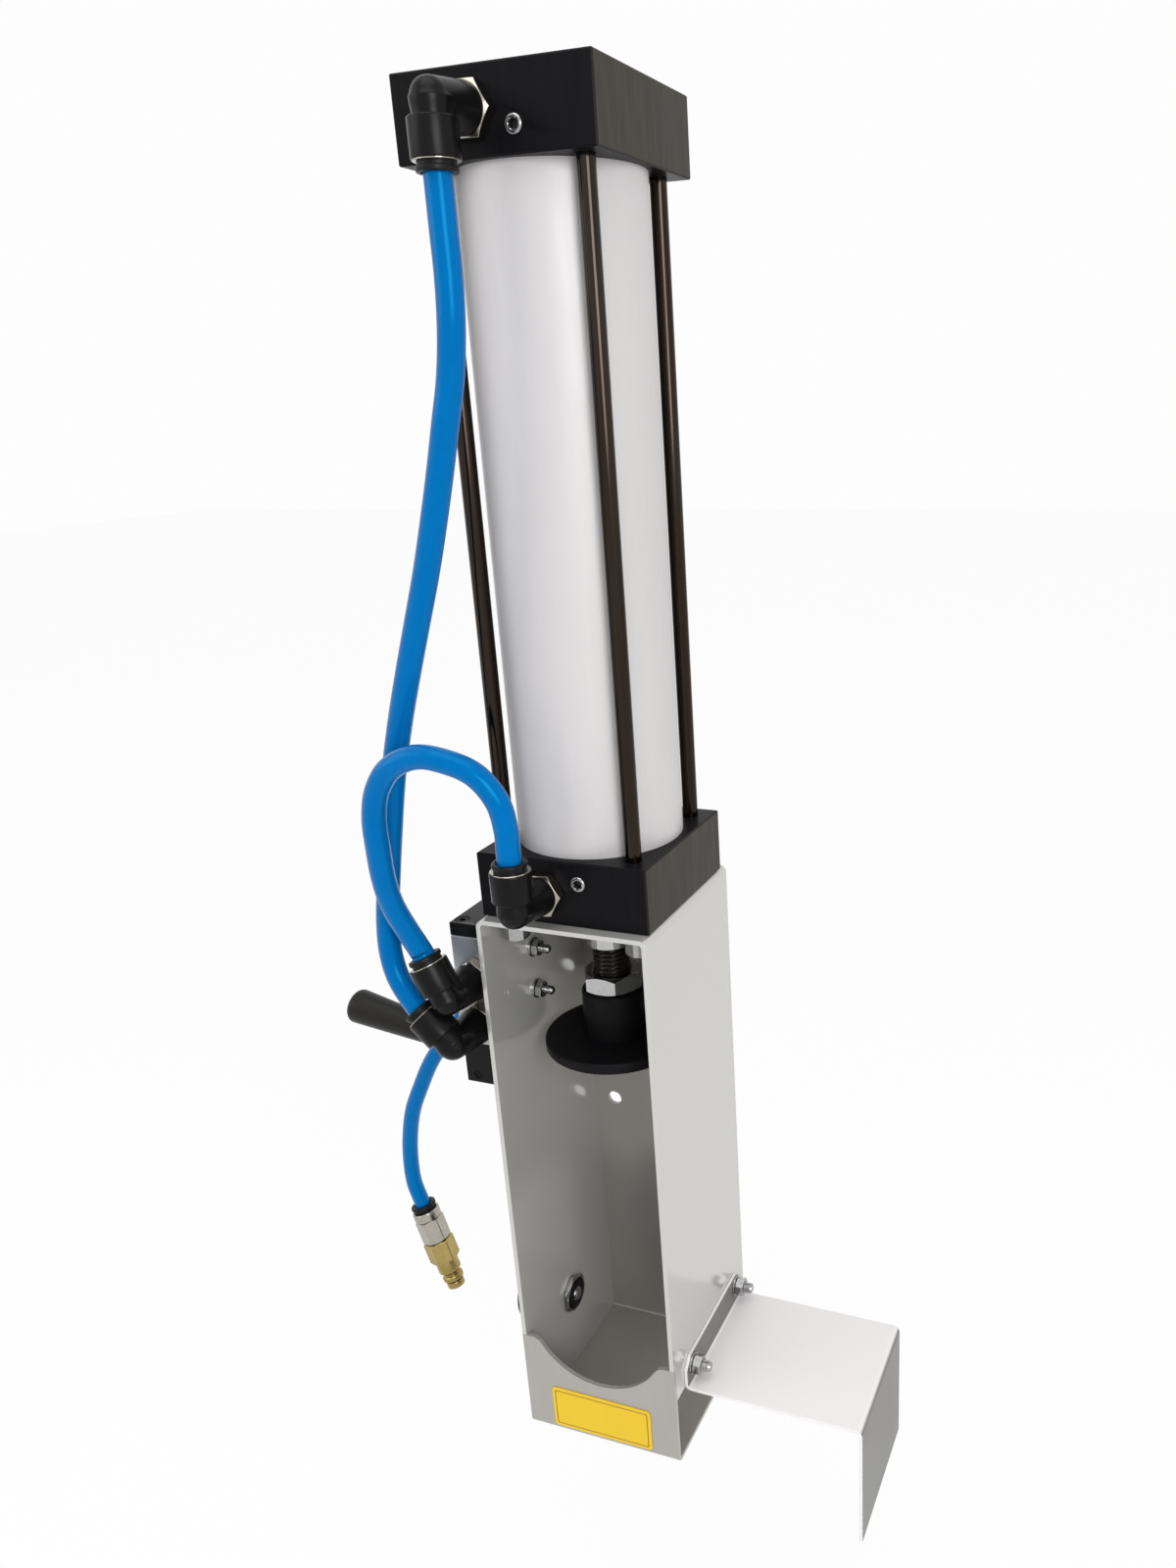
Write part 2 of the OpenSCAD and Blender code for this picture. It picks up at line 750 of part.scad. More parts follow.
module piston() {
  color("#c0c4c8") difference() {
    translate([0, cyl_y, piston_foot]) cylinder(h = piston_h, r = piston_r);
    for (z = piston_grooves) seal_groove(z);
    translate([0, cyl_y, piston_foot - eps])
      cylinder(h = piston_h + 2 * eps, r = rod_thread_d / 2 + fit_gap);
    translate([0, cyl_y, piston_top - piston_nut_h - 1])
      cylinder(h = piston_nut_h + 1 + eps, r = piston_nut_space);
  }
}
piston_grooves = [piston_foot + 5, piston_top - 5 - seal_w];

module piston_seals() {
  color("#202020") for (z = piston_grooves) seal_ring(z);
}

module piston_nut() {
  color("silver") translate([0, cyl_y, piston_top - piston_nut_h - 1])
    hex_nut(rod_nut_af, piston_nut_h, rod_thread_d);
}

module piston_rod() {
  rod_foot = hub_top - rod_in_hub;
  color("silver") translate([0, cyl_y, 0]) difference() {
    union() {
      translate([0, 0, thread_z]) cylinder(h = piston_foot - thread_z, r = rod_d / 2);
      translate([0, 0, piston_foot - eps]) cylinder(h = piston_h - 2, r = rod_thread_d / 2);
      translate([0, 0, rod_foot]) cylinder(h = thread_z - rod_foot + eps, r = rod_thread_d / 2);
    }
    for (s = [-1, 1]) translate([s * (flat_af / 2 + rod_d / 2), 0, thread_z + flat_h / 2 + 2])
      cube([rod_d, 2 * rod_d, flat_h], center = true);
  }
}

module rod_nut() {
  color("silver") translate([0, cyl_y, hub_top]) hex_nut(rod_nut_af, rod_nut_h, rod_thread_d);
}

module plate_hub() {
  color("#17171b") translate([0, cyl_y, hub_foot]) difference() {
    union() {
      cylinder(h = hub_h - 1, r = hub_d / 2);
      translate([0, 0, hub_h - 1]) cylinder(h = 1, r1 = hub_d / 2, r2 = hub_d / 2 - 1);
    }
    translate([0, 0, hub_h - rod_in_hub - 0.5])
      cylinder(h = rod_in_hub + 0.5 + eps, r = rod_thread_d / 2 + fit_gap);
    translate([0, 0, -eps]) cylinder(h = hub_h, r = plate_screw_d / 2 + fit_gap);
  }
}
plate_sink = 3;

module crush_plate() {
  color("#17171b") translate([0, cyl_y, hub_foot - crush_t]) difference() {
    union() {
      cylinder(h = 0.8, r1 = crush_d / 2 - 0.8, r2 = crush_d / 2);
      translate([0, 0, 0.8]) cylinder(h = crush_t - 1.6, r = crush_d / 2);
      translate([0, 0, crush_t - 0.8]) cylinder(h = 0.8, r1 = crush_d / 2, r2 = crush_d / 2 - 0.8);
    }
    translate([0, 0, -eps]) cylinder(h = crush_t + 2 * eps, r = plate_screw_d / 2 + screw_gap);
    translate([0, 0, -0.01])
      cylinder(h = plate_sink + 0.2, r1 = plate_screw_d + 0.2, r2 = plate_screw_d / 2);
  }
}

module plate_screw() {
  color("silver") translate([0, cyl_y, hub_foot - crush_t]) difference() {
    union() {
      cylinder(h = plate_sink, r1 = plate_screw_d, r2 = plate_screw_d / 2);
      cylinder(h = crush_t + hub_h - rod_in_hub - 1.5, r = plate_screw_d / 2);
    }
    translate([0, 0, -eps]) cylinder(h = 2.2 + eps, r = 2.3, $fn = 6);
  }
}

// ---- fittings ----

// turns a fitting so that its stud leaves a front or rear face, its outlet points at angle a
module front_port(p, a) { translate(p) rotate([90, 0, 0]) rotate([0, 0, a]) children(); }

module rear_port(p, a) { translate(p) rotate([-90, 0, 0]) rotate([0, 0, -a]) children(); }

// stud: thread below z = 0, hexagon, neck inside the body
module stud(turn) {
  difference() {
    union() {
      translate([0, 0, -thread_deep + 1]) cylinder(h = thread_deep - 1, r = stud_thread_r);
      hex_bar(stud_af, stud_hex_h, turn);
      cylinder(h = stud_hex_h + stud_neck_h, r = stud_neck_r);
    }
    translate([0, 0, -thread_deep])
      cylinder(h = thread_deep + stud_hex_h + stud_neck_h + eps, r = air_way_r);
  }
}

// body: a barrel round the stud's neck, a round corner, and a fatter barrel that takes the tube along +X
module elbow(d) {
  z0 = stud_hex_h + body_lift;
  corner_r = d / 2 + 1.5;
  wide = barrel_r(d);
  step = d / 2 + 0.8;
  reach = elbow_reach;
  difference() {
    union() {
      translate([0, 0, z0]) cylinder(h = reach - z0, r1 = wide, r2 = corner_r);
      translate([0, 0, reach]) sphere(corner_r);
      translate([0, 0, reach]) bar_x(0, step, corner_r);
      translate([step, 0, reach]) rotate([0, 90, 0]) cylinder(h = 1, r1 = wide - 1, r2 = wide);
      translate([0, 0, reach]) bar_x(step + 1, outlet_len(d), wide);
    }
    translate([0, 0, z0 - eps]) cylinder(h = stud_neck_h + eps, r = stud_neck_r + fit_gap);
    translate([0, 0, z0]) cylinder(h = reach - z0, r = air_way_r);
    translate([0, 0, reach]) {
      bar_x(0, tube_stop + eps, air_way_r);
      bar_x(tube_stop, outlet_len(d) + eps, d / 2 + tube_gap);
      bar_x(outlet_len(d) - skirt_len - 2, outlet_len(d) + eps, skirt_r(d) + tube_gap);
    }
  }
}

// release collar: a flange outside the barrel and a skirt inside it
module collar(d) {
  x0 = outlet_len(d) + collar_gap(d);
  translate([0, 0, elbow_reach]) difference() {
    union() {
      bar_x(outlet_len(d) - skirt_len, x0 + eps, skirt_r(d));
      bar_x(x0, x0 + collar_flange, collar_r(d));
    }
    bar_x(0, x0 + collar_flange + eps, d / 2 + tube_gap);
  }
}

module elbow_studs() {
  color("#d6d3cb") {
    front_port(upper_port, 0) stud(0);
    front_port(lower_port, 0) stud(0);
    front_port(valve_port_upper, 0) stud(30);
    front_port(valve_port_lower, 0) stud(30);
    rear_port(supply_port, 0) stud(30);
  }
}

module elbow_upper_port() { color("#1b1b1d") front_port(upper_port, upper_way) elbow(air_d); }

module elbow_lower_port() { color("#1b1b1d") front_port(lower_port, lower_way) elbow(air_d); }

module elbow_valve_upper() { color("#1b1b1d") front_port(valve_port_upper, valve_upper_way) elbow(air_d); }

module elbow_valve_lower() { color("#1b1b1d") front_port(valve_port_lower, valve_lower_way) elbow(air_d); }

module elbow_supply() { color("#1b1b1d") rear_port(supply_port, supply_way) elbow(supply_d); }

module collar_upper_port() { color("#262628") front_port(upper_port, upper_way) collar(air_d); }

module collar_lower_port() { color("#262628") front_port(lower_port, lower_way) collar(air_d); }

module collar_valve_upper() {
  color("#262628") front_port(valve_port_upper, valve_upper_way) collar(air_d);
}

module collar_valve_lower() {
  color("#262628") front_port(valve_port_lower, valve_lower_way) collar(air_d);
}

module collar_supply() { color("#262628") rear_port(supply_port, supply_way) collar(supply_d); }

// ---- tubes ----

function unit(v) = v / norm(v);
function tangent(p, i) =
  unit(p[min(i + 1, len(p) - 1)] - p[max(i - 1, 0)]);

// a ring of points square to the route at point i
function tube_ring(p, i, r) =
  let (t = tangent(p, i), u = unit(cross(t, [0, 1, 0])), v = cross(t, u))
  [for (k = [0 : tube_sides - 1]) let (a = 360 * k / tube_sides) p[i] + r * (cos(a) * u + sin(a) * v)];

// one closed tube through all the points of a route
module tube_along(p, r) {
  last = len(p) - 1;
  n = tube_sides;
  points = [for (i = [0 : last]) each tube_ring(p, i, r)];
  sides = [for (i = [0 : last - 1], k = [0 : n - 1]) let (m = (k + 1) % n)
    each [[i * n + k, (i + 1) * n + k, (i + 1) * n + m], [i * n + k, (i + 1) * n + m, i * n + m]]];
  first_cap = [for (k = [0 : n - 1]) k];
  last_cap = [for (k = [n - 1 : -1 : 0]) last * n + k];
  polyhedron(points, concat(sides, [first_cap, last_cap]), convexity = 6);
}

// a route from the stop inside one fitting to the stop inside the other
function outlet_points(corner, a, d) =
  [corner + tube_stop * way(a), corner + (exit_len(d) + 2) * way(a)];
function flip(p) = [for (i = [len(p) - 1 : -1 : 0]) p[i]];
function from_top(p) = [for (q = p) q + [0, 0, top_z]];

module air_tube_upper() {
  route = concat(
    outlet_points(front_corner(upper_port), upper_way, air_d),
    from_top(upper_tube_points),
    flip(outlet_points(front_corner(valve_port_lower), valve_lower_way, air_d))
  );
  color("#1487d8") tube_along(route, air_d / 2);
}

module air_tube_lower() {
  route = concat(
    outlet_points(front_corner(lower_port), lower_way, air_d),
    from_top(lower_tube_points),
    flip(outlet_points(front_corner(valve_port_upper), valve_upper_way, air_d))
  );
  color("#1487d8") tube_along(route, air_d / 2);
}

// the plug's own axis: z = 0 at the top of its collar, the nipple points up its +Z
plug_down = [sin(plug_tilt), 0, -cos(plug_tilt)];
module at_plug(z) { translate(plug_top) rotate([0, 180 - plug_tilt, 0]) translate([0, 0, z]) children(); }
plug_body_z = collar_flange + collar_travel + 0.3;
plug_stop = plug_body_z + 10;

module supply_tube() {
  route = concat(
    outlet_points(rear_corner(supply_port), supply_way, supply_d),
    from_top(supply_tube_points),
    [plug_top - 2 * plug_down, plug_top + plug_stop * plug_down]
  );
  color("#1487d8") tube_along(route, supply_d / 2);
}

module collar_plug() {
  color("#262628") at_plug(0) difference() {
    union() {
      cylinder(h = collar_flange, r = plug_collar_r);
      cylinder(h = plug_body_z + skirt_len, r = skirt_r(supply_d));
    }
    translate([0, 0, -eps]) cylinder(h = plug_body_z + skirt_len + 2 * eps, r = supply_d / 2 + tube_gap);
  }
}

// straight fitting: a round mouth for the tube, then a hexagon, with a thread that enters the plug
module plug_fitting() {
  mouth = 5;
  color("#cfccc4") at_plug(plug_body_z) difference() {
    union() {
      cylinder(h = 1, r1 = fitting_r - 1, r2 = fitting_r);
      translate([0, 0, 1]) cylinder(h = mouth - 1, r = fitting_r);
      translate([0, 0, mouth]) hex_bar(fitting_af, fitting_len - mouth, 20);
      cylinder(h = fitting_len + 6, r = 4.6);
    }
    translate([0, 0, -eps]) cylinder(h = skirt_len + 2 + eps, r = skirt_r(supply_d) + tube_gap);
    translate([0, 0, -eps]) cylinder(h = plug_stop - plug_body_z + eps, r = supply_d / 2 + tube_gap);
    translate([0, 0, -eps]) cylinder(h = fitting_len + 6 + 2 * eps, r = plug_bore_r);
  }
}

module air_plug() {
  shoulder_z = brass_hex_h;
  neck = shoulder_z + plug_shoulder_h;
  color("#b99a3c") at_plug(plug_body_z + fitting_len + 0.2) difference() {
    union() {
      hex_bar(brass_af, brass_hex_h, 20);
      translate([0, 0, shoulder_z - eps]) cylinder(h = plug_shoulder_h, r = plug_shoulder_r);
      translate([0, 0, neck - eps]) cylinder(h = 1.5, r1 = plug_shoulder_r, r2 = plug_neck_r);
      translate([0, 0, neck - eps]) cylinder(h = 4 + eps, r = plug_neck_r);
      translate([0, 0, neck + 2]) cylinder(h = 1, r1 = plug_neck_r, r2 = plug_ring_r);
      translate([0, 0, neck + 3]) cylinder(h = 2, r = plug_ring_r);
      translate([0, 0, neck + 5]) cylinder(h = 1, r1 = plug_ring_r, r2 = plug_neck_r);
      translate([0, 0, neck + 4]) cylinder(h = 2 + nipple_h, r = plug_neck_r);
    }
    translate([0, 0, -eps]) cylinder(h = 6.5 + eps, r = 4.6 + fit_gap);
    cylinder(h = neck + nipple_h + 6 + eps, r = plug_bore_r);
  }
}

// ---- valve ----

// on the axes of both valve screws, at x
module at_valve_screws(x) {
  for (s = [-1, 1]) translate([x, valve_screw_y, valve_screw_z + s * valve_screw_span / 2]) children();
}

module valve_body() {
  z_low = valve_foot;
  color("#c9ccd0") difference() {
    translate([valve_x, valve_y, z_low]) block(valve_w, valve_d, valve_h, 0.4);
    translate([spool_x, valve_y, z_low - eps]) cylinder(h = valve_h + 2 * eps, r = spool_bore / 2);
    for (p = [valve_port_upper, valve_port_lower]) translate([p[0], 0, p[2]]) {
      bar_y(valve_front - eps, valve_front + thread_deep, port_d / 2);
      bar_y(valve_front, valve_y, air_way_r);
    }
    translate([valve_x, 0, valve_screw_z]) {
      bar_y(valve_rear - thread_deep, valve_rear + eps, port_d / 2);
      bar_y(valve_y, valve_rear, air_way_r);
    }
    for (s = [-1, 1]) translate([valve_x, 0, valve_z + s * exhaust_port_at]) {
      bar_y(valve_rear - exhaust_deep, valve_rear + eps, exhaust_port_d / 2);
      bar_y(valve_y, valve_rear, air_way_r / 1.5);
    }
    at_valve_screws(0) bar_x(left_x - valve_w - eps, left_x + eps, valve_screw_d / 2 + screw_gap);
    at_cap_screws(valve_head - end_hole) cylinder(h = end_hole + eps, r = end_screw_d / 2 + fit_gap);
    at_block_screws(z_low - eps) cylinder(h = end_hole + eps, r = end_screw_d / 2 + fit_gap);
  }
}
end_screw_d = 3;
end_screw_len = 6;
end_hole = 6.5;
end_screw_x = valve_w / 2 - 4;
end_screw_y = valve_d / 2 - 4.5;

// the cap's screws lie on a diagonal, the block's on the side of the wall, clear of the lever's pin
module at_cap_screws(z) {
  for (s = [-1, 1]) translate([valve_x + s * end_screw_x, valve_y + s * end_screw_y, z]) children();
}

module at_block_screws(z) {
  for (s = [-1, 1]) translate([valve_x + end_screw_x, valve_y + s * end_screw_y, z]) children();
}

module valve_cap() {
  color("#1b1b1d") difference() {
    translate([valve_x, valve_y, valve_head]) block(valve_w, valve_d, valve_cap_h, 0.4);
    at_cap_screws(valve_head - eps) cylinder(h = valve_cap_h + 2 * eps, r = end_screw_d / 2 + screw_gap);
    at_cap_screws(valve_head + valve_cap_h - end_screw_d)
      cylinder(h = end_screw_d + eps, r = end_screw_d + screw_gap);
  }
}

module end_screw() {
  difference() {
    union() {
      translate([0, 0, -end_screw_d]) cylinder(h = end_screw_d - 0.2, r = end_screw_d);
      translate([0, 0, -valve_cap_h - end_screw_len])
        cylinder(h = valve_cap_h + end_screw_len - 0.3, r = end_screw_d / 2);
    }
    translate([0, 0, -1.6]) cylinder(h = 2, r = 1.4, $fn = 6);
  }
}

module valve_end_screws() {
  color("#3a3a3e") {
    at_cap_screws(valve_head + valve_cap_h) end_screw();
    at_block_screws(valve_foot - valve_cap_h) mirror([0, 0, 1]) end_screw();
  }
}

module valve_screws() {
  head_h = 3;
  start = left_x - valve_w;
  end = left_x + sheet + washer_t + valve_nut_h + 4.5;
  color("silver") at_valve_screws(0) {
    bar_x(start, end, valve_screw_d / 2);
    difference() {
      bar_x(start - head_h, start, valve_screw_d * 0.9);
      translate([start - head_h - eps, 0, 0]) rotate([0, 90, 0]) cylinder(h = 1.6 + eps, r = 1.5, $fn = 6);
    }
  }
}
valve_nut_h = 3.2;
valve_nut_af = 7;

module valve_nuts() {
  color("silver") at_valve_screws(left_x + sheet + washer_t)
    rotate([0, 90, 0]) hex_nut(valve_nut_af, valve_nut_h, valve_screw_d);
}

// hollow block with a slot to the left for the lever and a stepped foot
module lever_block() {
  z_low = valve_foot - block_h;
  color("#1b1b1d") difference() {
    union() {
      translate([valve_x, valve_y, z_low + block_step]) block(valve_w, valve_d, block_h - block_step, 0.4);
      translate([valve_x + 1.5, valve_y, z_low]) block(valve_w - 3, valve_d - 8, 2 * block_step, 0.4);
    }
    translate([left_x - valve_w - eps, valve_y - lever_slot / 2, pivot_z - 7])
      cube([pivot_x - left_x + valve_w + eps, lever_slot, 16]);
    translate([pivot_x - eps, valve_y - lever_slot / 2, pivot_z - 5.5])
      cube([finger_reach + 6 + eps, lever_slot, 12.5]);
    translate([spool_x, valve_y, pivot_z]) cylinder(h = block_h, r = tail_r + 0.5);
    translate([pivot_x, 0, pivot_z]) bar_y(valve_front - eps, valve_rear + eps, lever_pin_d / 2 + fit_gap);
    at_block_screws(z_low - eps) cylinder(h = block_h + 2 * eps, r = end_screw_d / 2 + screw_gap);
    at_block_screws(z_low - eps)
      cylinder(h = block_h - valve_cap_h + end_screw_d + eps, r = end_screw_d + screw_gap);
  }
}

// lands and necks of the spool, and a slotted tail for the lever's finger
module spool() {
  foot = valve_foot + 1;
  span = spool_top - foot;
  lands = 5;
  pitch = span / (lands - 0.5);
  tail_z = pivot_z - tail_slot / 2 - 2;
  color("silver") translate([spool_x, valve_y, 0]) difference() {
    union() {
      translate([0, 0, foot]) cylinder(h = span, r = spool_neck_r);
      for (i = [0 : lands - 1]) translate([0, 0, foot + i * pitch]) difference() {
        cylinder(h = pitch / 2, r = spool_r);
        translate([0, 0, pitch / 4 - 0.8]) ring(spool_r + eps, spool_r - 1, 1.6);
      }
      translate([0, 0, tail_z]) cylinder(h = foot - tail_z + eps, r = tail_r);
    }
    translate([-tail_r - eps, -tail_r - eps, pivot_z - tail_slot / 2])
      cube([2 * (tail_r + eps), 2 * tail_r + eps - tail_strap, tail_slot]);
  }
}

module spool_seals() {
  foot = valve_foot + 1;
  lands = 5;
  pitch = (spool_top - foot) / (lands - 0.5);
  color("#202020") for (i = [0 : lands - 1])
    translate([spool_x, valve_y, foot + i * pitch + pitch / 4 - 0.7]) ring(spool_r, spool_r - 0.9, 1.4);
}

// turns its children about the pivot so that -X points along the lever
module at_lever() { translate([pivot_x, valve_y, pivot_z]) rotate([0, lever_rise, 0]) children(); }

module lever_rod() {
  color("silver") difference() {
    union() {
      at_lever() {
        bar_y(-lever_hub_w / 2, lever_hub_w / 2, lever_hub_r);
        bar_x(-lever_len + 8, -lever_hub_r + 1, lever_rod_d / 2);
      }
      // finger that moves the spool
      translate([pivot_x, valve_y - lever_hub_w / 2, pivot_z - finger_h / 2])
        cube([finger_reach + 1, lever_hub_w / 2 - 0.4, finger_h]);
    }
    translate([pivot_x, valve_y, pivot_z]) bar_y(-lever_hub_w, lever_hub_w, lever_pin_d / 2 + slide_gap);
  }
}

// tapered grip with a domed end
module lever_grip() {
  r0 = grip_small_d / 2;
  r1 = grip_d / 2;
  dome = 3;
  color("#1b1b1d") at_lever() difference() {
    translate([-lever_len + grip_len, 0, 0]) rotate([0, -90, 0]) rotate_extrude() difference() {
      union() {
        polygon([[0, 0], [r0 - 0.8, 0], [r0, 0.8], [r1, grip_len - dome], [0, grip_len - dome]]);
        translate([0, grip_len - dome]) square([r1 - dome, dome]);
        intersection() {
          translate([r1 - dome, grip_len - dome]) circle(dome);
          translate([0, grip_len - dome - 0.01]) square([r1, dome + 0.01]);
        }
      }
    }
    bar_x(-lever_len + 8, 0, lever_rod_d / 2 + fit_gap);
  }
}

module lever_pin() {
  color("silver") translate([pivot_x, 0, pivot_z])
    bar_y(valve_front + 0.3, valve_rear - 0.3, lever_pin_d / 2);
}

// ---- ejector ----

module at_ejector() { translate([0, ejector_y, ejector_h]) children(); }
housing_x = left_x - housing_len;
nose_x = left_x + sheet + nose_out;
flange_x = left_x + sheet;
tip_x = left_x + sheet + tip_out;

module ejector_housing() {
  color("#1b1b1d") at_ejector() difference() {
    union() {
      bar_x(housing_x, left_x, housing_r);
      bar_x(left_x - 2.5, left_x, housing_r + 2.5);
      bar_x(left_x - eps, nose_x, nose_r);
    }
    bar_x(housing_x + housing_back, flange_x + slide_gap, cavity_r);
    bar_x(housing_x - eps, nose_x + eps, plunger_r + slide_gap);
  }
}

module ejector_nut() {
  color("silver") at_ejector() translate([left_x + sheet, 0, 0]) rotate([0, 90, 0])
    hex_nut(ejector_nut_af, ejector_nut_h, 2 * nose_r);
}

module ejector_plunger() {
  dome = 1;
  color("silver") at_ejector() {
    bar_x(knob_x + 1, tip_x - dome, plunger_r);
    translate([tip_x - dome, 0, 0]) rotate([0, 90, 0])
      cylinder(h = dome, r1 = plunger_r, r2 = plunger_r - dome);
    bar_x(flange_x - plunger_flange, flange_x, cavity_r - slide_gap);
  }
}
knob_gap = 0.4;
knob_x = housing_x - knob_gap - knob_t;

module ejector_knob() {
  edge = 1.5;
  r = knob_d / 2;
  color("#1b1b1d") at_ejector() difference() {
    union() {
      translate([knob_x, 0, 0]) rotate([0, 90, 0]) cylinder(h = edge, r1 = r - edge, r2 = r);
      bar_x(knob_x + edge, knob_x + knob_t - edge, r);
      translate([knob_x + knob_t - edge, 0, 0]) rotate([0, 90, 0])
        cylinder(h = edge, r1 = r, r2 = r - edge);
    }
    bar_x(knob_x + 1, knob_x + knob_t + eps, plunger_r + fit_gap);
  }
}

// coil between the housing's back and the plunger's flange
spring_x0 = housing_x + housing_back + 0.05;
spring_x1 = flange_x - plunger_flange - 0.05;
spring_lead = spring_wire / 2;
coil_rings = 8;
coil_points = spring_turns * coil_rings;
function coil_point(i) =
  let (a = 360 * i / coil_rings)
  [spring_x0 + spring_lead + (spring_x1 - spring_x0 - 2 * spring_lead) * i / coil_points,
   spring_r * cos(a), spring_r * sin(a)];
coil_path = [for (i = [0 : coil_points]) coil_point(i)];
function coil_ring(p, i, r) =
  let (t = tangent(p, i), u = unit(cross(t, [1, 0, 0])), v = cross(t, u))
  [for (k = [0 : 5]) p[i] + r * (cos(60 * k) * u + sin(60 * k) * v)];
coil_gap = min([
  for (i = [0 : coil_points], j = [i + coil_rings - 2 : 1 : coil_points]) norm(coil_path[i] - coil_path[j])
]) - spring_wire;
echo(coil_least_gap = coil_gap);

module ejector_spring() {
  n = 6;
  last = coil_points;
  points = [for (i = [0 : last]) each coil_ring(coil_path, i, spring_wire / 2)];
  sides = [for (i = [0 : last - 1], k = [0 : n - 1]) let (m = (k + 1) % n)
    each [[i * n + k, (i + 1) * n + k, (i + 1) * n + m], [i * n + k, (i + 1) * n + m, i * n + m]]];
  color("silver") at_ejector() polyhedron(
    points,
    concat(sides, [[for (k = [0 : n - 1]) k], [for (k = [n - 1 : -1 : 0]) last * n + k]]),
    convexity = 10
  );
}

side_shell();
back_tray();
lip_plate();
exit_guard();
guard_screws();
guard_nuts();
washers();
lower_head();
upper_head();
cylinder_tube();
tube_seals();
tie_rods();
tie_rod_nuts();
mounting_screws();
rod_bush();
rod_wiper();
needle_screw_upper();
needle_screw_lower();
piston();
piston_seals();
piston_nut();
piston_rod();
rod_nut();
plate_hub();
crush_plate();
plate_screw();
elbow_studs();
elbow_upper_port();
elbow_lower_port();
elbow_valve_upper();
elbow_valve_lower();
elbow_supply();
collar_upper_port();
collar_lower_port();
collar_valve_upper();
collar_valve_lower();
collar_supply();
collar_plug();
plug_fitting();
air_plug();
air_tube_upper();
air_tube_lower();
supply_tube();
valve_body();
valve_cap();
valve_end_screws();
valve_screws();
valve_nuts();
lever_block();
spool();
spool_seals();
lever_rod();
lever_grip();
lever_pin();
ejector_housing();
ejector_nut();
ejector_plunger();
ejector_knob();
ejector_spring();
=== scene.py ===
# Pneumatic can crusher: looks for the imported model, in the part's own frame. Measures are in
# millimetres, apart from those of the camera and the stage, which are in metres.
import json
import math

import bmesh
import bpy
import numpy as np
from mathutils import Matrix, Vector


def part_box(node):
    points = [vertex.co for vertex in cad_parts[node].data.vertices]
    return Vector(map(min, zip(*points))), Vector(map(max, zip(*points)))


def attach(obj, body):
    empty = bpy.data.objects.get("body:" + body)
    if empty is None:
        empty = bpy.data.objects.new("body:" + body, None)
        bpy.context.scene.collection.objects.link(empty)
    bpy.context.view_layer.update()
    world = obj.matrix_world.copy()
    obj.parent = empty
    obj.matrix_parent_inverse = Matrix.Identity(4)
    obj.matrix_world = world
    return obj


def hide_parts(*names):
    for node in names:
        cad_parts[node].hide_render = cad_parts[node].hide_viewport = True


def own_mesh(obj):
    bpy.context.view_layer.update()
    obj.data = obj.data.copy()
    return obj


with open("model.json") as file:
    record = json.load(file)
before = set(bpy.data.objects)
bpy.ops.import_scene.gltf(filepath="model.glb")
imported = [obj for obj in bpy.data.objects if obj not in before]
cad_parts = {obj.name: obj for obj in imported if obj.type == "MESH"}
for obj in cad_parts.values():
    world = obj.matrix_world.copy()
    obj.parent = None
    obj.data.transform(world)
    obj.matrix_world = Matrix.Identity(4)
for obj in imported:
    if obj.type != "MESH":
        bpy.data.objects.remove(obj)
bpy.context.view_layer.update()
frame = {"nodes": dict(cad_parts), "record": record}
cadNodes = frame["nodes"]
print("model loaded:", len(cadNodes), "nodes")

# camera, at the photograph's viewing angle
camera = {
    "place": (0.2317, -0.4716, 0.2924),
    "turn": (70.915, 1.686, 19.921),  # degrees, XYZ
    "lens": 28.09,
    "sensor": 36,
    "shift": (-0.1103, 0.0223),
    "clip": (0.01, 50),
}


def setCamera(values):
    data = bpy.data.cameras.new("studioCamera")
    data.lens = values["lens"]
    data.sensor_width = values["sensor"]
    data.sensor_fit = "AUTO"
    data.shift_x, data.shift_y = values["shift"]
    data.clip_start, data.clip_end = values["clip"]
    cam = bpy.data.objects.new("studioCamera", data)
    cam.location = values["place"]
    cam.rotation_euler = [math.radians(a) for a in values["turn"]]
    bpy.context.scene.collection.objects.link(cam)
    bpy.context.scene.camera = cam


setCamera(camera)

# air tubes: two between valve and cylinder, one for the supply
millimetre = 0.001
elbowReach = 22  # from a port's face to the elbow's corner
tubeStop = 6.5  # where a tube's end stands in its fitting
outletShort = 1.5  # an outlet barrel is this much shorter than two tubes are wide
collarGap = 1.5  # between an outlet barrel's end and its collar
collarLength = 2
# each elbow's port, the way its stud leaves it (along Y), its outlet's angle from +X to +Z in degrees,
# the width of its tube and the turn of its hexagon
elbows = {
    "upper_port": {"port": (-8, -80, 382.25), "stud": -1, "way": 270, "tube": 9.5, "turn": 0,
                   "collarBody": "collar_upper"},
    "lower_port": {"port": (-8, -80, 108.75), "stud": -1, "way": 90, "tube": 9.5, "turn": 0,
                   "collarBody": "collar_lower"},
    "valve_upper": {"port": (-49, -72.5, 61.6), "stud": -1, "way": 115, "tube": 9.5, "turn": 30,
                    "collarBody": "collar_outlet_upper"},
    "valve_lower": {"port": (-49, -72.5, 41), "stud": -1, "way": 135, "tube": 9.5, "turn": 30,
                    "collarBody": "collar_outlet_lower"},
    "supply": {"port": (-49, -37.5, 56.5), "stud": 1, "way": 220, "tube": 8, "turn": 30,
               "collarBody": "collar_inlet"},
}


def outletWay(elbow):
    a = math.radians(elbow["way"])
    return np.array([math.cos(a), 0, math.sin(a)])


def cornerOf(elbow):
    return np.array(elbow["port"], float) + np.array([0, elbow["stud"] * elbowReach, 0])


# from the corner to the outlet barrel's end, and on to the collar's outer face
def outletLength(elbow):
    return 2 * elbow["tube"] - outletShort


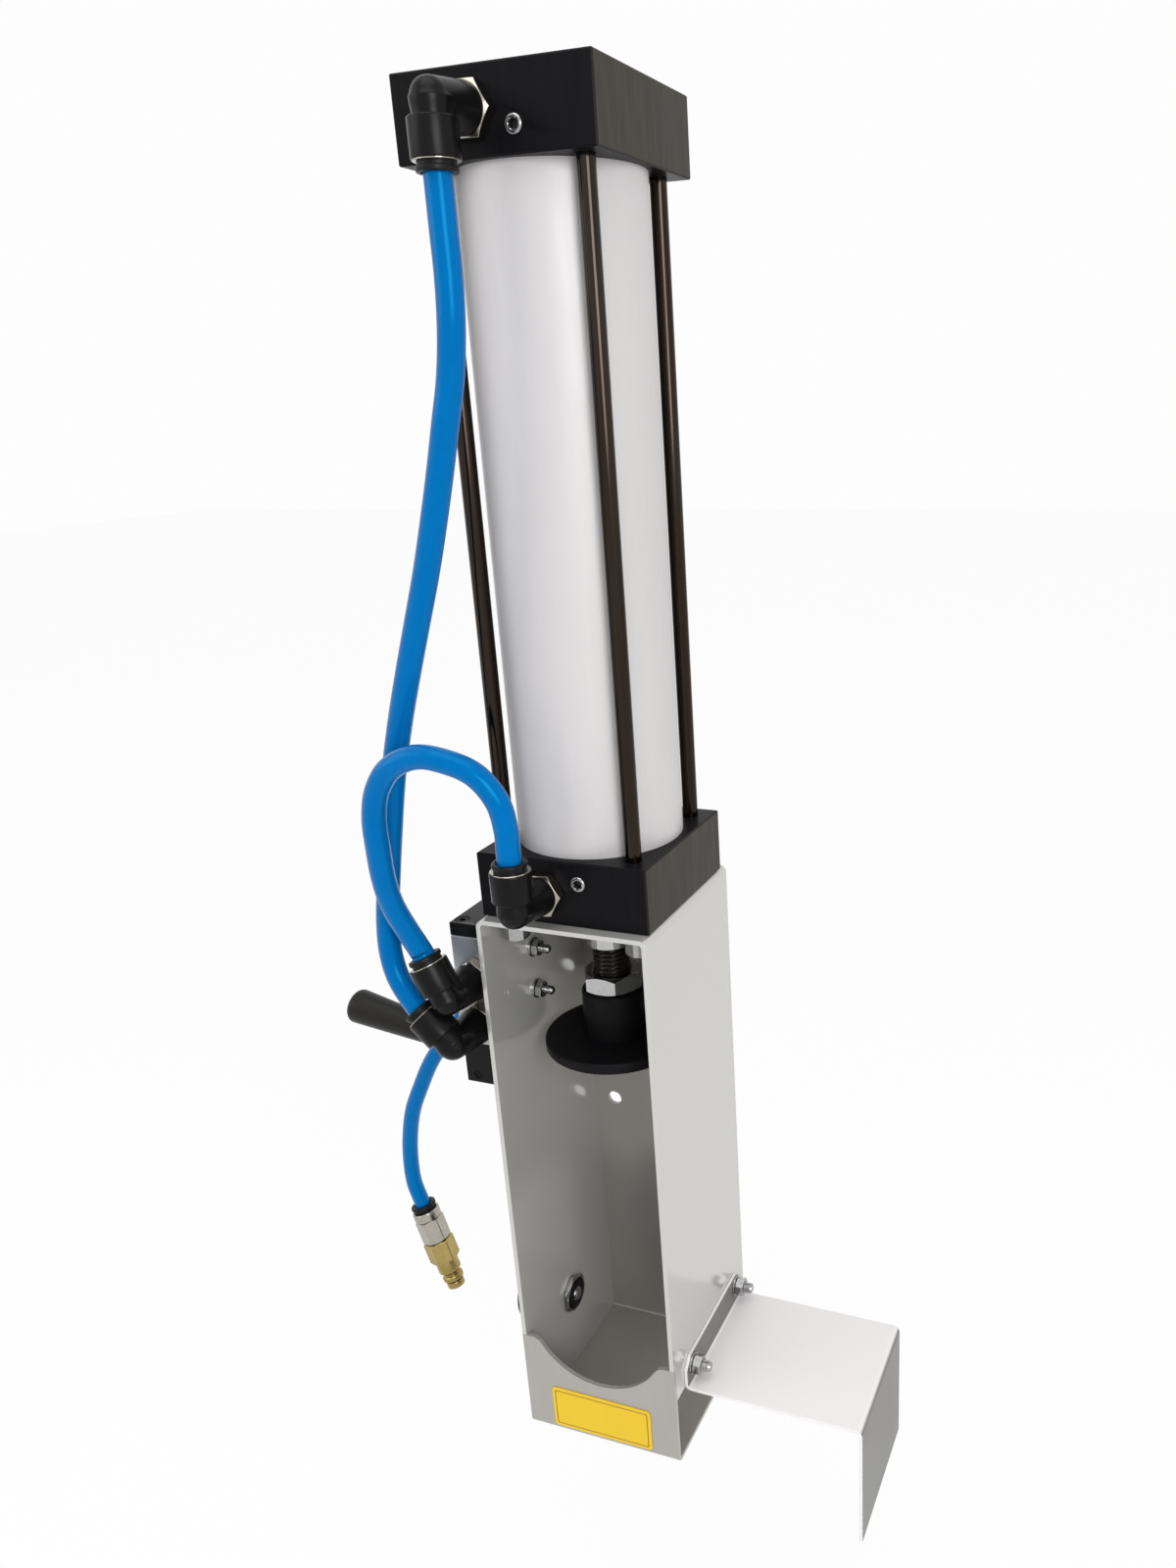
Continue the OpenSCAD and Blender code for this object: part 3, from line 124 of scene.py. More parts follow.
def exitLength(elbow):
    return outletLength(elbow) + collarGap + collarLength


def outletPoint(name, along):
    return tuple(cornerOf(elbows[name]) + along * outletWay(elbows[name]))


def outletPoints(name):
    reach = exitLength(elbows[name])
    return [outletPoint(name, tubeStop), outletPoint(name, reach), outletPoint(name, reach + 2)]


# where the supply tube's end goes in, how far the plug leans, and its straight fitting's place on it
plugTop = np.array([-132.5, -25, -105])
plugTilt = math.radians(17)
plugWay = np.array([math.sin(plugTilt), 0, -math.cos(plugTilt)])
plugSide = (-math.cos(plugTilt), 0, -math.sin(plugTilt))
plugBodyAt = 3.5

topPlateAt = 95  # the routes' heights count from the top plate
airTubes = {
    "airTubeUpper": {
        "replaces": "air_tube_upper", "from": "upper_port", "to": "valve_lower", "diameter": 9.5,
        "points": [
            (-8, -102, 251), (-8, -102, 236), (-9, -102, 221), (-12, -101, 206), (-16, -101, 191),
            (-21, -100, 175), (-26, -100, 158), (-32, -99, 141), (-39, -98, 123), (-46, -97, 105),
            (-54, -95, 85), (-61, -94, 63), (-68, -92, 37), (-73, -91, 15), (-76, -91, -2),
            (-76, -92, -16), (-73, -93, -27),
        ],
    },
    "airTubeLower": {
        "replaces": "air_tube_lower", "from": "lower_port", "to": "valve_upper", "diameter": 9.5,
        "points": [
            (-8, -102, 48), (-10, -103, 59), (-17, -105, 69), (-28, -107, 74), (-40, -108, 75),
            (-51, -109, 70), (-58, -109, 61), (-62, -108, 49), (-63, -107, 36), (-64, -105, 23),
            (-64, -102, 11), (-62, -98, -1),
        ],
    },
    "supplyTube": {
        "replaces": "supply_tube", "from": "supply", "to": None, "diameter": 8,
        "points": [
            (-76, -16, -63), (-87, -18, -75), (-98, -20, -88), (-108, -22, -101), (-117, -23, -114),
            (-124, -24, -128), (-130, -25, -142), (-134, -25, -157), (-136, -25, -172), (-136, -25, -187),
        ],
    },
}


# a smooth curve through the route's points, with handles along the chord of each point's neighbours
def tubeCurve(name, values):
    route = outletPoints(values["from"]) + [(x, y, z + topPlateAt) for x, y, z in values["points"]]
    if values["to"]:
        route += outletPoints(values["to"])[::-1]
    else:
        route += [tuple(plugTop - 2 * plugWay), tuple(plugTop), tuple(plugTop + (plugBodyAt + 10) * plugWay)]
    points = np.array(route) * millimetre
    data = bpy.data.curves.new(name, "CURVE")
    data.dimensions = "3D"
    data.bevel_depth = 1  # each point's own radius scales it to the tube's
    data.bevel_resolution = 6
    data.resolution_u = 8
    data.use_fill_caps = True
    line = data.splines.new("BEZIER")
    line.bezier_points.add(len(points) - 1)
    line.bezier_points.foreach_set("radius", np.full(len(points), values["diameter"] / 2 * millimetre))
    ahead = np.vstack([points[1:], points[-1:]])
    behind = np.vstack([points[:1], points[:-1]])
    tangent = ahead - behind
    tangent /= np.linalg.norm(tangent, axis=1)[:, None]
    toAhead = np.linalg.norm(ahead - points, axis=1)[:, None] / 3
    toBehind = np.linalg.norm(points - behind, axis=1)[:, None] / 3
    line.bezier_points.foreach_set("co", points.ravel())
    line.bezier_points.foreach_set("handle_left", (points - tangent * toBehind).ravel())
    line.bezier_points.foreach_set("handle_right", (points + tangent * toAhead).ravel())
    tube = bpy.data.objects.new(name, data)
    bpy.context.scene.collection.objects.link(tube)
    length = float(np.linalg.norm(np.diff(points, axis=0), axis=1).sum())
    return tube, length, points


tubes = {}
for name, values in airTubes.items():
    tube, length, points = tubeCurve(name, values)
    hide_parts(values["replaces"])
    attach(tube, "chute")
    tubes[name] = {"piece": tube, "length": length, "exit": tuple(points[1])}
print("air tubes laid")


# a new material: its tree, its principled shader and a texture space fixed to the object
def newLook(name):
    look = bpy.data.materials.new(name)
    look.use_nodes = True
    tree = look.node_tree
    tree.nodes.clear()
    out = tree.nodes.new("ShaderNodeOutputMaterial")
    shader = tree.nodes.new("ShaderNodeBsdfPrincipled")
    tree.links.new(shader.outputs[0], out.inputs[0])
    place = tree.nodes.new("ShaderNodeTexCoord")
    return look, tree, shader, place.outputs["Object"]


# noise over the object, stretched by scale along each axis
def grain(tree, place, scale, detail=3.0, rough=0.55):
    stretch = tree.nodes.new("ShaderNodeMapping")
    stretch.inputs["Scale"].default_value = scale
    tree.links.new(place, stretch.inputs["Vector"])
    noise = tree.nodes.new("ShaderNodeTexNoise")
    noise.inputs["Scale"].default_value = 1
    noise.inputs["Detail"].default_value = detail
    noise.inputs["Roughness"].default_value = rough
    tree.links.new(stretch.outputs[0], noise.inputs["Vector"])
    return noise.outputs["Fac"]


def spread(tree, value, low, high, fromLow=0.3, fromHigh=0.7):
    node = tree.nodes.new("ShaderNodeMapRange")
    node.inputs["From Min"].default_value = fromLow
    node.inputs["From Max"].default_value = fromHigh
    node.inputs["To Min"].default_value = low
    node.inputs["To Max"].default_value = high
    tree.links.new(value, node.inputs["Value"])
    return node.outputs["Result"]


def calculate(tree, operation, *inputs):
    node = tree.nodes.new("ShaderNodeMath")
    node.operation = operation
    for socket, value in zip(node.inputs, inputs):
        if isinstance(value, (int, float)):
            socket.default_value = value
        else:
            tree.links.new(value, socket)
    return node.outputs[0]


def mixColours(tree, factor, first, second):
    node = tree.nodes.new("ShaderNodeMix")
    node.data_type = "RGBA"
    tree.links.new(factor, node.inputs["Factor"])
    for socket, colour in (("A", first), ("B", second)):
        target = [s for s in node.inputs if s.name == socket and s.type == "RGBA"][0]
        if isinstance(colour, tuple):
            target.default_value = (*colour, 1)
        else:
            tree.links.new(colour, target)
    return [s for s in node.outputs if s.type == "RGBA"][0]


def bump(tree, height, strength, distance=0.0002):
    node = tree.nodes.new("ShaderNodeBump")
    node.inputs["Strength"].default_value = strength
    node.inputs["Distance"].default_value = distance
    tree.links.new(height, node.inputs["Height"])
    return node.outputs[0]


# how far a face looks along one axis of the part, either way: 0 to 1
def facing(tree, axis):
    face = tree.nodes.new("ShaderNodeNewGeometry")
    split = tree.nodes.new("ShaderNodeSeparateXYZ")
    tree.links.new(face.outputs["Normal"], split.inputs[0])
    return calculate(tree, "ABSOLUTE", split.outputs[axis])


# colour, roughness and relief from two grains: fine lines or specks, and slow clouds of wear, which on the
# dark rods are a painted warm-brown reflection;
# faces that look along X may take a painted side light: painted shade on the guard's flap, a painted
# reflection on the heads' sides
def surfaceLook(name, values):
    look, tree, shader, place = newLook(name)
    fine = grain(tree, place, values["fine"], 4, 0.6)
    slow = grain(tree, place, values.get("slow", (18, 18, 18)), 2, 0.5)
    pale = mixColours(tree, spread(tree, fine, 0, 1), values["colour"], values["colourFine"])
    colour = mixColours(tree, spread(tree, slow, 0, values.get("wear", 0.6)), pale, values["colourSlow"])
    # painted side light on faces along X: painted shade on the guard's flap, painted reflection on the heads'
    # sides
    if "paintedSideColour" in values:
        side = spread(tree, facing(tree, 0), 0, 1, 0.6, 0.9)
        sideLightTone = mixColours(tree, spread(tree, fine, 0, 1), values["paintedSideColour"], values["paintedSideFine"])
        colour = mixColours(tree, side, colour, sideLightTone)
    tree.links.new(colour, shader.inputs["Base Color"])
    blended = calculate(tree, "MULTIPLY_ADD", slow, 0.5, spread(tree, fine, 0, 0.5, 0, 1))
    low, high = values["rough"]
    tree.links.new(spread(tree, blended, low, high), shader.inputs["Roughness"])
    tree.links.new(bump(tree, fine, values["relief"]), shader.inputs["Normal"])
    shader.inputs["Metallic"].default_value = values["metal"]
    shader.inputs["Specular IOR Level"].default_value = values.get("gloss", 0.5)
    shader.inputs["Specular Tint"].default_value = (*values.get("tint", (1, 1, 1)), 1)
    shader.inputs["Coat Weight"].default_value = values.get("coat", 0)
    shader.inputs["Coat Roughness"].default_value = values.get("coatRough", 0.1)
    return look


finishes = {
    "chute_sheet": {  # satin pale sheet
        "colour": (0.565, 0.56, 0.54), "colourFine": (0.56, 0.555, 0.535),
        "colourSlow": (0.58, 0.575, 0.555),
        "fine": (700, 700, 40), "slow": (9, 9, 5), "rough": (0.13, 0.17), "relief": 0.004, "metal": 0.45,
        "wear": 0.4},
    "tray_sheet": {  # the same sheet, with painted shade: a greyer copy of its colour
        "colour": (0.385, 0.37, 0.345), "colourFine": (0.37, 0.355, 0.33),
        "colourSlow": (0.40, 0.385, 0.36),
        "fine": (700, 700, 40), "slow": (9, 9, 5), "rough": (0.16, 0.22), "relief": 0.006, "metal": 0.35,
        "wear": 0.4},
    "guard_sheet": {  # white paint with a fine orange-peel; painted shade makes the flap a dark grey
        "colour": (0.82, 0.80, 0.80), "colourFine": (0.81, 0.79, 0.79), "colourSlow": (0.79, 0.77, 0.77),
        "paintedSideColour": (0.15, 0.146, 0.136), "paintedSideFine": (0.14, 0.136, 0.127),
        "fine": (900, 900, 900), "rough": (0.30, 0.40), "relief": 0.03, "metal": 0.0, "wear": 0.5},
    "black_head": {  # black anodised block, polished in front, brushed at the sides, whose lighter warm colour there is a painted reflection
        "colour": (0.004, 0.004, 0.005), "colourFine": (0.007, 0.007, 0.008),
        "colourSlow": (0.006, 0.006, 0.007),
        "paintedSideColour": (0.050, 0.046, 0.036), "paintedSideFine": (0.036, 0.033, 0.026),
        "fine": (300, 300, 30), "rough": (0.30, 0.42), "relief": 0.05, "metal": 0.0, "gloss": 0.06},
    "tube_alu": {  # matt whitish tube
        "colour": (0.59, 0.575, 0.575), "colourFine": (0.575, 0.56, 0.56),
        "colourSlow": (0.625, 0.60, 0.605),
        "fine": (500, 500, 60), "rough": (0.42, 0.52), "relief": 0.02, "metal": 0.15, "wear": 0.5},
    "dark_rod": {  # dark polished bar; its slow warm-brown streaks are a painted reflection
        "colour": (0.055, 0.048, 0.042), "colourFine": (0.014, 0.013, 0.012),
        "colourSlow": (0.030, 0.018, 0.012),
        "fine": (500, 500, 8), "slow": (90, 90, 5), "rough": (0.08, 0.16), "relief": 0.03, "metal": 1.0,
        # how far the painted warm-brown reflection shows
        "wear": 0.8},
    "zinc": {
        "colour": (0.52, 0.52, 0.52), "colourFine": (0.36, 0.36, 0.365),
        "colourSlow": (0.22, 0.22, 0.225),
        "fine": (900, 900, 900), "rough": (0.10, 0.24), "relief": 0.05, "metal": 1.0},
    "chrome": {
        "colour": (0.55, 0.55, 0.55), "colourFine": (0.48, 0.48, 0.48), "colourSlow": (0.32, 0.32, 0.32),
        "fine": (500, 500, 500), "rough": (0.07, 0.16), "relief": 0.02, "metal": 1.0},
    "rod_thread": {  # the ram's thread, darker than the rest of the rod
        "colour": (0.030, 0.027, 0.023), "colourFine": (0.05, 0.045, 0.038),
        "colourSlow": (0.014, 0.013, 0.012),
        "fine": (500, 500, 900), "rough": (0.24, 0.36), "relief": 0.03, "metal": 0.7},
    "socket": {  # the shaded inside of a screw's socket
        "colour": (0.012, 0.012, 0.012), "colourFine": (0.02, 0.02, 0.02),
        "colourSlow": (0.03, 0.03, 0.03),
        "fine": (900, 900, 900), "rough": (0.4, 0.6), "relief": 0.03, "metal": 0.3},
    "nickel": {
        "colour": (0.52, 0.49, 0.43), "colourFine": (0.42, 0.39, 0.34), "colourSlow": (0.22, 0.20, 0.17),
        "fine": (500, 500, 500), "rough": (0.12, 0.26), "relief": 0.03, "metal": 1.0},
    "brass": {
        "colour": (0.46, 0.35, 0.13), "colourFine": (0.38, 0.29, 0.10), "colourSlow": (0.24, 0.18, 0.06),
        "fine": (700, 700, 700), "slow": (60, 60, 60), "rough": (0.18, 0.34), "relief": 0.05, "metal": 1.0},
    "bronze": {
        "colour": (0.50, 0.33, 0.14), "colourFine": (0.44, 0.28, 0.11), "colourSlow": (0.35, 0.22, 0.09),
        "fine": (900, 900, 900), "rough": (0.35, 0.5), "relief": 0.08, "metal": 1.0},
    "black_steel": {  # black oxide on turned steel
        "colour": (0.004, 0.004, 0.005), "colourFine": (0.008, 0.008, 0.009),
        "colourSlow": (0.006, 0.006, 0.007),
        "fine": (500, 500, 900), "rough": (0.26, 0.38), "relief": 0.05, "metal": 0.0, "gloss": 0.07},
    "black_plastic": {
        "colour": (0.003, 0.003, 0.003), "colourFine": (0.004, 0.004, 0.004),
        "colourSlow": (0.005, 0.005, 0.005),
        "fine": (1200, 1200, 1200), "rough": (0.24, 0.36), "relief": 0.03, "metal": 0.0, "gloss": 0.14},
    "collar": {
        "colour": (0.005, 0.005, 0.005), "colourFine": (0.007, 0.007, 0.007),
        "colourSlow": (0.009, 0.009, 0.009),
        "fine": (1200, 1200, 1200), "rough": (0.30, 0.44), "relief": 0.06, "metal": 0.0, "gloss": 0.15},
    "grip": {
        "colour": (0.009, 0.008, 0.0075), "colourFine": (0.012, 0.011, 0.010),
        "colourSlow": (0.015, 0.0135, 0.0125),
        "fine": (900, 900, 900), "rough": (0.30, 0.44), "relief": 0.06, "metal": 0.0, "gloss": 0.2},
    "seal": {
        "colour": (0.012, 0.012, 0.012), "colourFine": (0.018, 0.018, 0.018),
        "colourSlow": (0.022, 0.022, 0.022),
        "fine": (1200, 1200, 1200), "rough": (0.5, 0.7), "relief": 0.08, "metal": 0.0},
    "valve_alu": {
        "colour": (0.46, 0.46, 0.455), "colourFine": (0.38, 0.38, 0.375),
        "colourSlow": (0.40, 0.40, 0.395),
        "fine": (60, 900, 900), "rough": (0.26, 0.40), "relief": 0.05, "metal": 0.8},
    "blue_tube": {  # glossy blue plastic, a little cloudy inside
        "colour": (0.0001, 0.138, 0.42), "colourFine": (0.0001, 0.150, 0.45),
        "colourSlow": (0.0001, 0.122, 0.37), "tint": (0.06, 0.7, 1),
        "fine": (400, 400, 400), "rough": (0.14, 0.22), "relief": 0.01, "metal": 0.0, "gloss": 0.3},
    "yellow_plate": {
        "colour": (0.78, 0.52, 0.012), "colourFine": (0.74, 0.48, 0.010),
        "colourSlow": (0.80, 0.56, 0.02),
        "fine": (1500, 1500, 1500), "rough": (0.38, 0.52), "relief": 0.03, "metal": 0.0, "gloss": 0.3},
}
looks = {slot: surfaceLook(slot + "Look", values) for slot, values in finishes.items()}
softness = {"weight": 0.12, "radius": (0.0002, 0.001, 0.002)}
plateLine = {"inset": 1.7, "width": 0.45, "corner": 1.5, "colour": (0.20, 0.09, 0.008)}


def shaderOf(look):
    return [n for n in look.node_tree.nodes if n.type == "BSDF_PRINCIPLED"][0]


# the blue tube lets a little light into itself
def softenTube(look, values):
    shader = shaderOf(look)
    shader.inputs["Subsurface Weight"].default_value = values["weight"]
    shader.inputs["Subsurface Radius"].default_value = values["radius"]
    shader.inputs["Subsurface Scale"].default_value = 1.0


# a thin dark line inside the plate's edge: the distance to the nearest edge lies within a narrow band
def framePlate(look, low, high, values):
    tree, shader = look.node_tree, shaderOf(look)
    place = tree.nodes.new("ShaderNodeTexCoord")
    split = tree.nodes.new("ShaderNodeSeparateXYZ")
    tree.links.new(place.outputs["Object"], split.inputs[0])
    gaps = []
    for axis in (0, 2):
        off = calculate(tree, "SUBTRACT", split.outputs[axis], (low[axis] + high[axis]) / 2)
        away = calculate(tree, "ABSOLUTE", off)
        gaps.append(calculate(tree, "SUBTRACT", (high[axis] - low[axis]) / 2, away))
    nearest = calculate(tree, "SMOOTH_MIN", gaps[0], gaps[1], values["corner"] * millimetre)
    fromLine = calculate(tree, "ABSOLUTE", calculate(tree, "SUBTRACT", nearest, values["inset"] * millimetre))
    half = values["width"] / 2 * millimetre
    onLine = spread(tree, fromLine, 1, 0, half * 0.7, half * 1.3)
    plain = shader.inputs["Base Color"].links[0].from_socket
    tree.links.new(mixColours(tree, onLine, plain, values["colour"]), shader.inputs["Base Color"])


softenTube(looks["blue_tube"], softness)
framePlate(looks["yellow_plate"], *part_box("lip_plate"), plateLine)
slotOf = {s["node"]: s["material_slot"] for s in frame["record"]["subparts"]}


def wear(piece, slot):
    piece.data.materials.clear()
    piece.data.materials.append(looks[slot])


for name, node in cadNodes.items():
    wear(node, slotOf[name])
for tube in tubes.values():
    wear(tube["piece"], "blue_tube")
print("looks made:", len(looks))


# a grid of points, rows by columns, becomes a mesh: columns run round; rows end at poles or run round too
def shellFromGrid(name, grid, roundRows=False):
    rows, columns = grid.shape[:2]
    index = np.arange(rows * columns).reshape(rows, columns)
    lower = index if roundRows else index[:-1]
    upper = np.roll(index, -1, axis=0) if roundRows else index[1:]
    faces = np.stack([lower, np.roll(lower, -1, 1), np.roll(upper, -1, 1), upper], axis=-1).reshape(-1, 4)
    mesh = bpy.data.meshes.new(name)
    mesh.from_pydata((grid.reshape(-1, 3) * millimetre).tolist(), [], faces.tolist())
    piece = bpy.data.objects.new(name, mesh)
    bpy.context.scene.collection.objects.link(piece)
    return piece


creaseAngle = 32  # degrees: an edge that bends more stays sharp
weldWithin = 2e-6  # metres: points nearer than this become one


# joins doubles, closes the poles and turns all faces outwards
def closeShell(piece, sharpAngle=creaseAngle):
    work = bmesh.new()
    work.from_mesh(piece.data)
    bmesh.ops.remove_doubles(work, verts=work.verts, dist=weldWithin)
    bmesh.ops.dissolve_degenerate(work, edges=work.edges, dist=1e-7)
    bmesh.ops.recalc_face_normals(work, faces=work.faces)
    work.to_mesh(piece.data)
    work.free()
    piece.data.shade_smooth()
    piece.data.set_sharp_from_angle(angle=math.radians(sharpAngle))
    return piece


def joinPieces(name, parts):
    work = bmesh.new()
    for part in parts:
        work.from_mesh(part.data)
        data = part.data
        bpy.data.objects.remove(part)
        bpy.data.meshes.remove(data)
    mesh = bpy.data.meshes.new(name)
    work.to_mesh(mesh)
    work.free()
    piece = bpy.data.objects.new(name, mesh)
    bpy.context.scene.collection.objects.link(piece)
    mesh.set_sharp_from_angle(angle=math.radians(creaseAngle))
    return piece


# axes of a turned piece: its own Z along axis, its own X as near to side as can be
def axesAlong(axis, side=(1, 0, 0)):
    z = np.array(axis, float) / np.linalg.norm(axis)
    x = np.array(side, float) - np.dot(side, z) * z
    x /= np.linalg.norm(x)
    return np.array([x, np.cross(z, x), z])


sides = 96
ringAngles = np.linspace(0, 2 * np.pi, sides, endpoint=False)


# rows of (radius, height), each a number or a value for every angle, turned about an axis:
# (r cos a, r sin a, h) in the piece's own axes, then moved to its place
def turned(name, rows, at, axis, side=(1, 0, 0), loop=False):
    radius = np.array([np.broadcast_to(r, sides) for r, h in rows])
    height = np.array([np.broadcast_to(h, sides) for r, h in rows])
    grid = np.stack([radius * np.cos(ringAngles), radius * np.sin(ringAngles), height], axis=-1)
    grid = grid @ axesAlong(axis, side) + np.array(at, float)
    return closeShell(shellFromGrid(name, grid, loop))


# a rounded corner of a profile: rows on an arc about a centre (radius, height), in degrees from outward to up
def arc(centre, r, start, end, steps=5):
    a = np.radians(np.linspace(start, end, steps))
    return [(centre[0] + r * math.cos(t), centre[1] + r * math.sin(t)) for t in a]


# a hexagon's reach at every angle: half the width across flats over the cosine of the angle from the flat
def hexReach(acrossFlats, turn=0):
    fromFlat = (ringAngles - math.radians(turn)) % (np.pi / 3) - np.pi / 6
    return acrossFlats / 2 / np.cos(fromFlat)


# a hexagon with both ends turned to a cone: each corner is cut down where the cone meets the flats
def hexRows(acrossFlats, low, high, turn=0, slope=0.58):
    reach = hexReach(acrossFlats, turn)
    endRadius = acrossFlats / 2 - 0.3
    cut = (reach - endRadius) * slope
    return [(endRadius, low), (reach, low + cut), (reach, high - cut), (endRadius, high)]


# a screw thread from low to high: at each height the radius falls by 0.55 of the pitch and rises again
# once a turn, as a triangle with a flat crest, and a turn later it has climbed by the pitch
def threadRows(radius, pitch, low, high, stepsPerTurn=8):
    rows = []
    for height in np.linspace(low, high, int(abs(high - low) / pitch * stepsPerTurn) + 1):
        phase = (height / pitch - ringAngles / (2 * np.pi)) % 1
        groove = np.abs(phase - 0.5) * 2
        rows.append((radius - 0.55 * pitch * np.clip(1.25 * groove - 0.25, 0, 1), height))
    return rows


# a piece takes a node's place: it rides on the node's body and wears its slot
def dress(piece, body, *nodes):
    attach(piece, body)
    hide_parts(*nodes)
    slot = slotOf[nodes[0]]
    wear(piece, slot)
    return piece


# a second look on the faces that a test of their centres (in mm) picks
def wearOnFaces(piece, look, picked):
    mesh = piece.data
    mesh.materials.append(looks[look])
    centres = np.empty(len(mesh.polygons) * 3)
    mesh.polygons.foreach_get("center", centres)
    chosen = picked(centres.reshape(-1, 3) / millimetre)
    mesh.polygons.foreach_set("material_index", chosen.astype(np.int32))
    return piece


def easeEdges(piece, width, sharpAngle=30, segments=2):
    ease = piece.modifiers.new("easedEdges", "BEVEL")
    ease.width = width * millimetre
    ease.segments = segments
    ease.limit_method = "ANGLE"
    ease.angle_limit = math.radians(sharpAngle)
    ease.use_clamp_overlap = True
    ease.harden_normals = True
    return piece


# a bevelled copy of a CAD node: the same flat faces, with their edges eased
def easedCopy(name, node, body, width, sharpAngle=30):
    mesh = cadNodes[node].data.copy()
    work = bmesh.new()
    work.from_mesh(mesh)
    bmesh.ops.remove_doubles(work, verts=work.verts, dist=weldWithin)
    bmesh.ops.dissolve_limit(work, angle_limit=math.radians(0.5), verts=work.verts, edges=work.edges)
    work.to_mesh(mesh)
    work.free()
    mesh.name = name
    piece = bpy.data.objects.new(name, mesh)
    bpy.context.scene.collection.objects.link(piece)
    mesh.shade_smooth()
    mesh.set_sharp_from_angle(angle=math.radians(sharpAngle))
    easeEdges(piece, width, sharpAngle)
    return dress(piece, body, node)


# pieces that keep the model's shape, with eased edges: the node, its body and the eased width
eased = {
    "sideShell": ("side_shell", "chute", 0.35), "backTray": ("back_tray", "chute", 0.35),
    "exitGuard": ("exit_guard", "chute", 0.3), "lipPlate": ("lip_plate", "chute", 0.15),
    "upperHead": ("upper_head", "chute", 0.35), "lowerHead": ("lower_head", "chute", 0.35),
    "valveBody": ("valve_body", "chute", 0.25), "valveCap": ("valve_cap", "chute", 0.25),
    "leverBlock": ("lever_block", "chute", 0.3), "crushPlate": ("crush_plate", "ram", 0.3),
    "plateHub": ("plate_hub", "ram", 0.3), "flatWashers": ("washers", "chute", 0.12),
    "tieRodNuts": ("tie_rod_nuts", "chute", 0.3), "ejectorHousing": ("ejector_housing", "chute", 0.4),
    "valveEndScrews": ("valve_end_screws", "chute", 0.15), "leverRod": ("lever_rod", "lever", 0.2),
    "ejectorPlunger": ("ejector_plunger", "ejector", 0.2), "plateScrew": ("plate_screw", "ram", 0.2),
}
for name, (node, body, width) in eased.items():
    easedCopy(name, node, body, width)
print("eased pieces made:", len(eased))

# elbow fittings: core, outlet barrel, holding ring, release collar and nickel stud; a value that ends
# in Out is how far that form stands outside the tube
elbowShape = {
    "cornerOut": 1.5, "barrelOut": 3.3, "valley": 1.8, "shoulderAt": 5.2, "shoulderRound": 0.8,
    "overlap": 2, "lift": 0.3, "mouthDepth": 6,
    "collarOut": 2.4, "collarOval": 0.25, "skirtOut": 1.5, "skirtDepth": 6,
    "studHex": 17, "studHexLength": 5, "studThread": 6.3, "studNeck": 5, "studBore": 3, "studDepth": 9,
}


# larger of two reaches with a soft valley between: the larger, plus a parabola while they are near each other
def blendReach(a, b, width):
    near = np.clip(width - np.abs(a - b), 0, None) / width
    return np.maximum(a, b) + near * near * width / 4


# an elbow's core, as its reach from the corner in every direction: a barrel that widens straight back to
# the stud, c / (sin p - k cos p), and a short neck along the outlet, c / sin q, each cut off flat, with a
# round back of radius c
def elbowCore(name, elbow, values):
    stud = np.array([0.0, -elbow["stud"], 0.0])
    outlet = outletWay(elbow)
    cross = np.cross(stud, outlet)
    corner = elbow["tube"] / 2 + values["cornerOut"]
    barrel = elbow["tube"] / 2 + values["barrelOut"]
    back = elbowReach - values["studHexLength"] - values["lift"]
    widening = (barrel - corner) / back
    rim = math.atan2(barrel, back)
    polar = np.concatenate([np.linspace(0, rim, 6), np.linspace(rim, np.pi, 80)[1:]])
    p, t = np.meshgrid(polar, np.linspace(0, 2 * np.pi, 128, endpoint=False), indexing="ij")
    way = np.cos(p)[..., None] * stud + np.sin(p)[..., None] * (
        np.cos(t)[..., None] * outlet + np.sin(t)[..., None] * cross)
    slant = np.maximum(np.sin(p) - widening * np.cos(p), 1e-3)
    atCap = back / np.maximum(np.cos(p), 1e-3)
    barrelReach = np.where(p < np.pi / 2, np.minimum(corner / slant, atCap), corner)
    alongOutlet = way @ outlet
    offOutlet = np.sqrt(np.clip(1 - alongOutlet ** 2, 1e-9, 1))
    neckEnd = (values["shoulderAt"] + values["overlap"]) / np.maximum(alongOutlet, 1e-3)
    neckReach = np.where(alongOutlet > 0, np.minimum(corner / offOutlet, neckEnd), corner + 6 * alongOutlet)
    reach = blendReach(barrelReach, neckReach, values["valley"])
    return closeShell(shellFromGrid(name, cornerOf(elbow) + reach[..., None] * way), 50)


def elbowBody(node, elbow, values):
    tube = elbow["tube"] / 2
    neck = tube + values["cornerOut"]
    wide = tube + values["barrelOut"]
    end = outletLength(elbow)
    low = values["shoulderAt"]
    soft = values["shoulderRound"]
    inside = low + values["overlap"]
    stop = end - values["mouthDepth"]
    mouth = tube + values["skirtOut"] + 0.35
    rows = [(mouth - 1, inside), (neck - 0.3, low)]
    rows += arc((wide - soft, low + soft), soft, -80, 0)
    rows += arc((wide - 0.7, end - 0.7), 0.7, 0, 90)
    rows += [(mouth + 0.3, end), (mouth, end - 0.3), (mouth, stop)]
    rows += [(tube + 0.2, stop), (tube + 0.2, inside)]
    outlet = turned(node + "Outlet", rows, cornerOf(elbow), outletWay(elbow), (0, 1, 0), loop=True)
    body = joinPieces(node + "Body", [elbowCore(node + "Core", elbow, values), outlet])
    return dress(body, "chute", node)


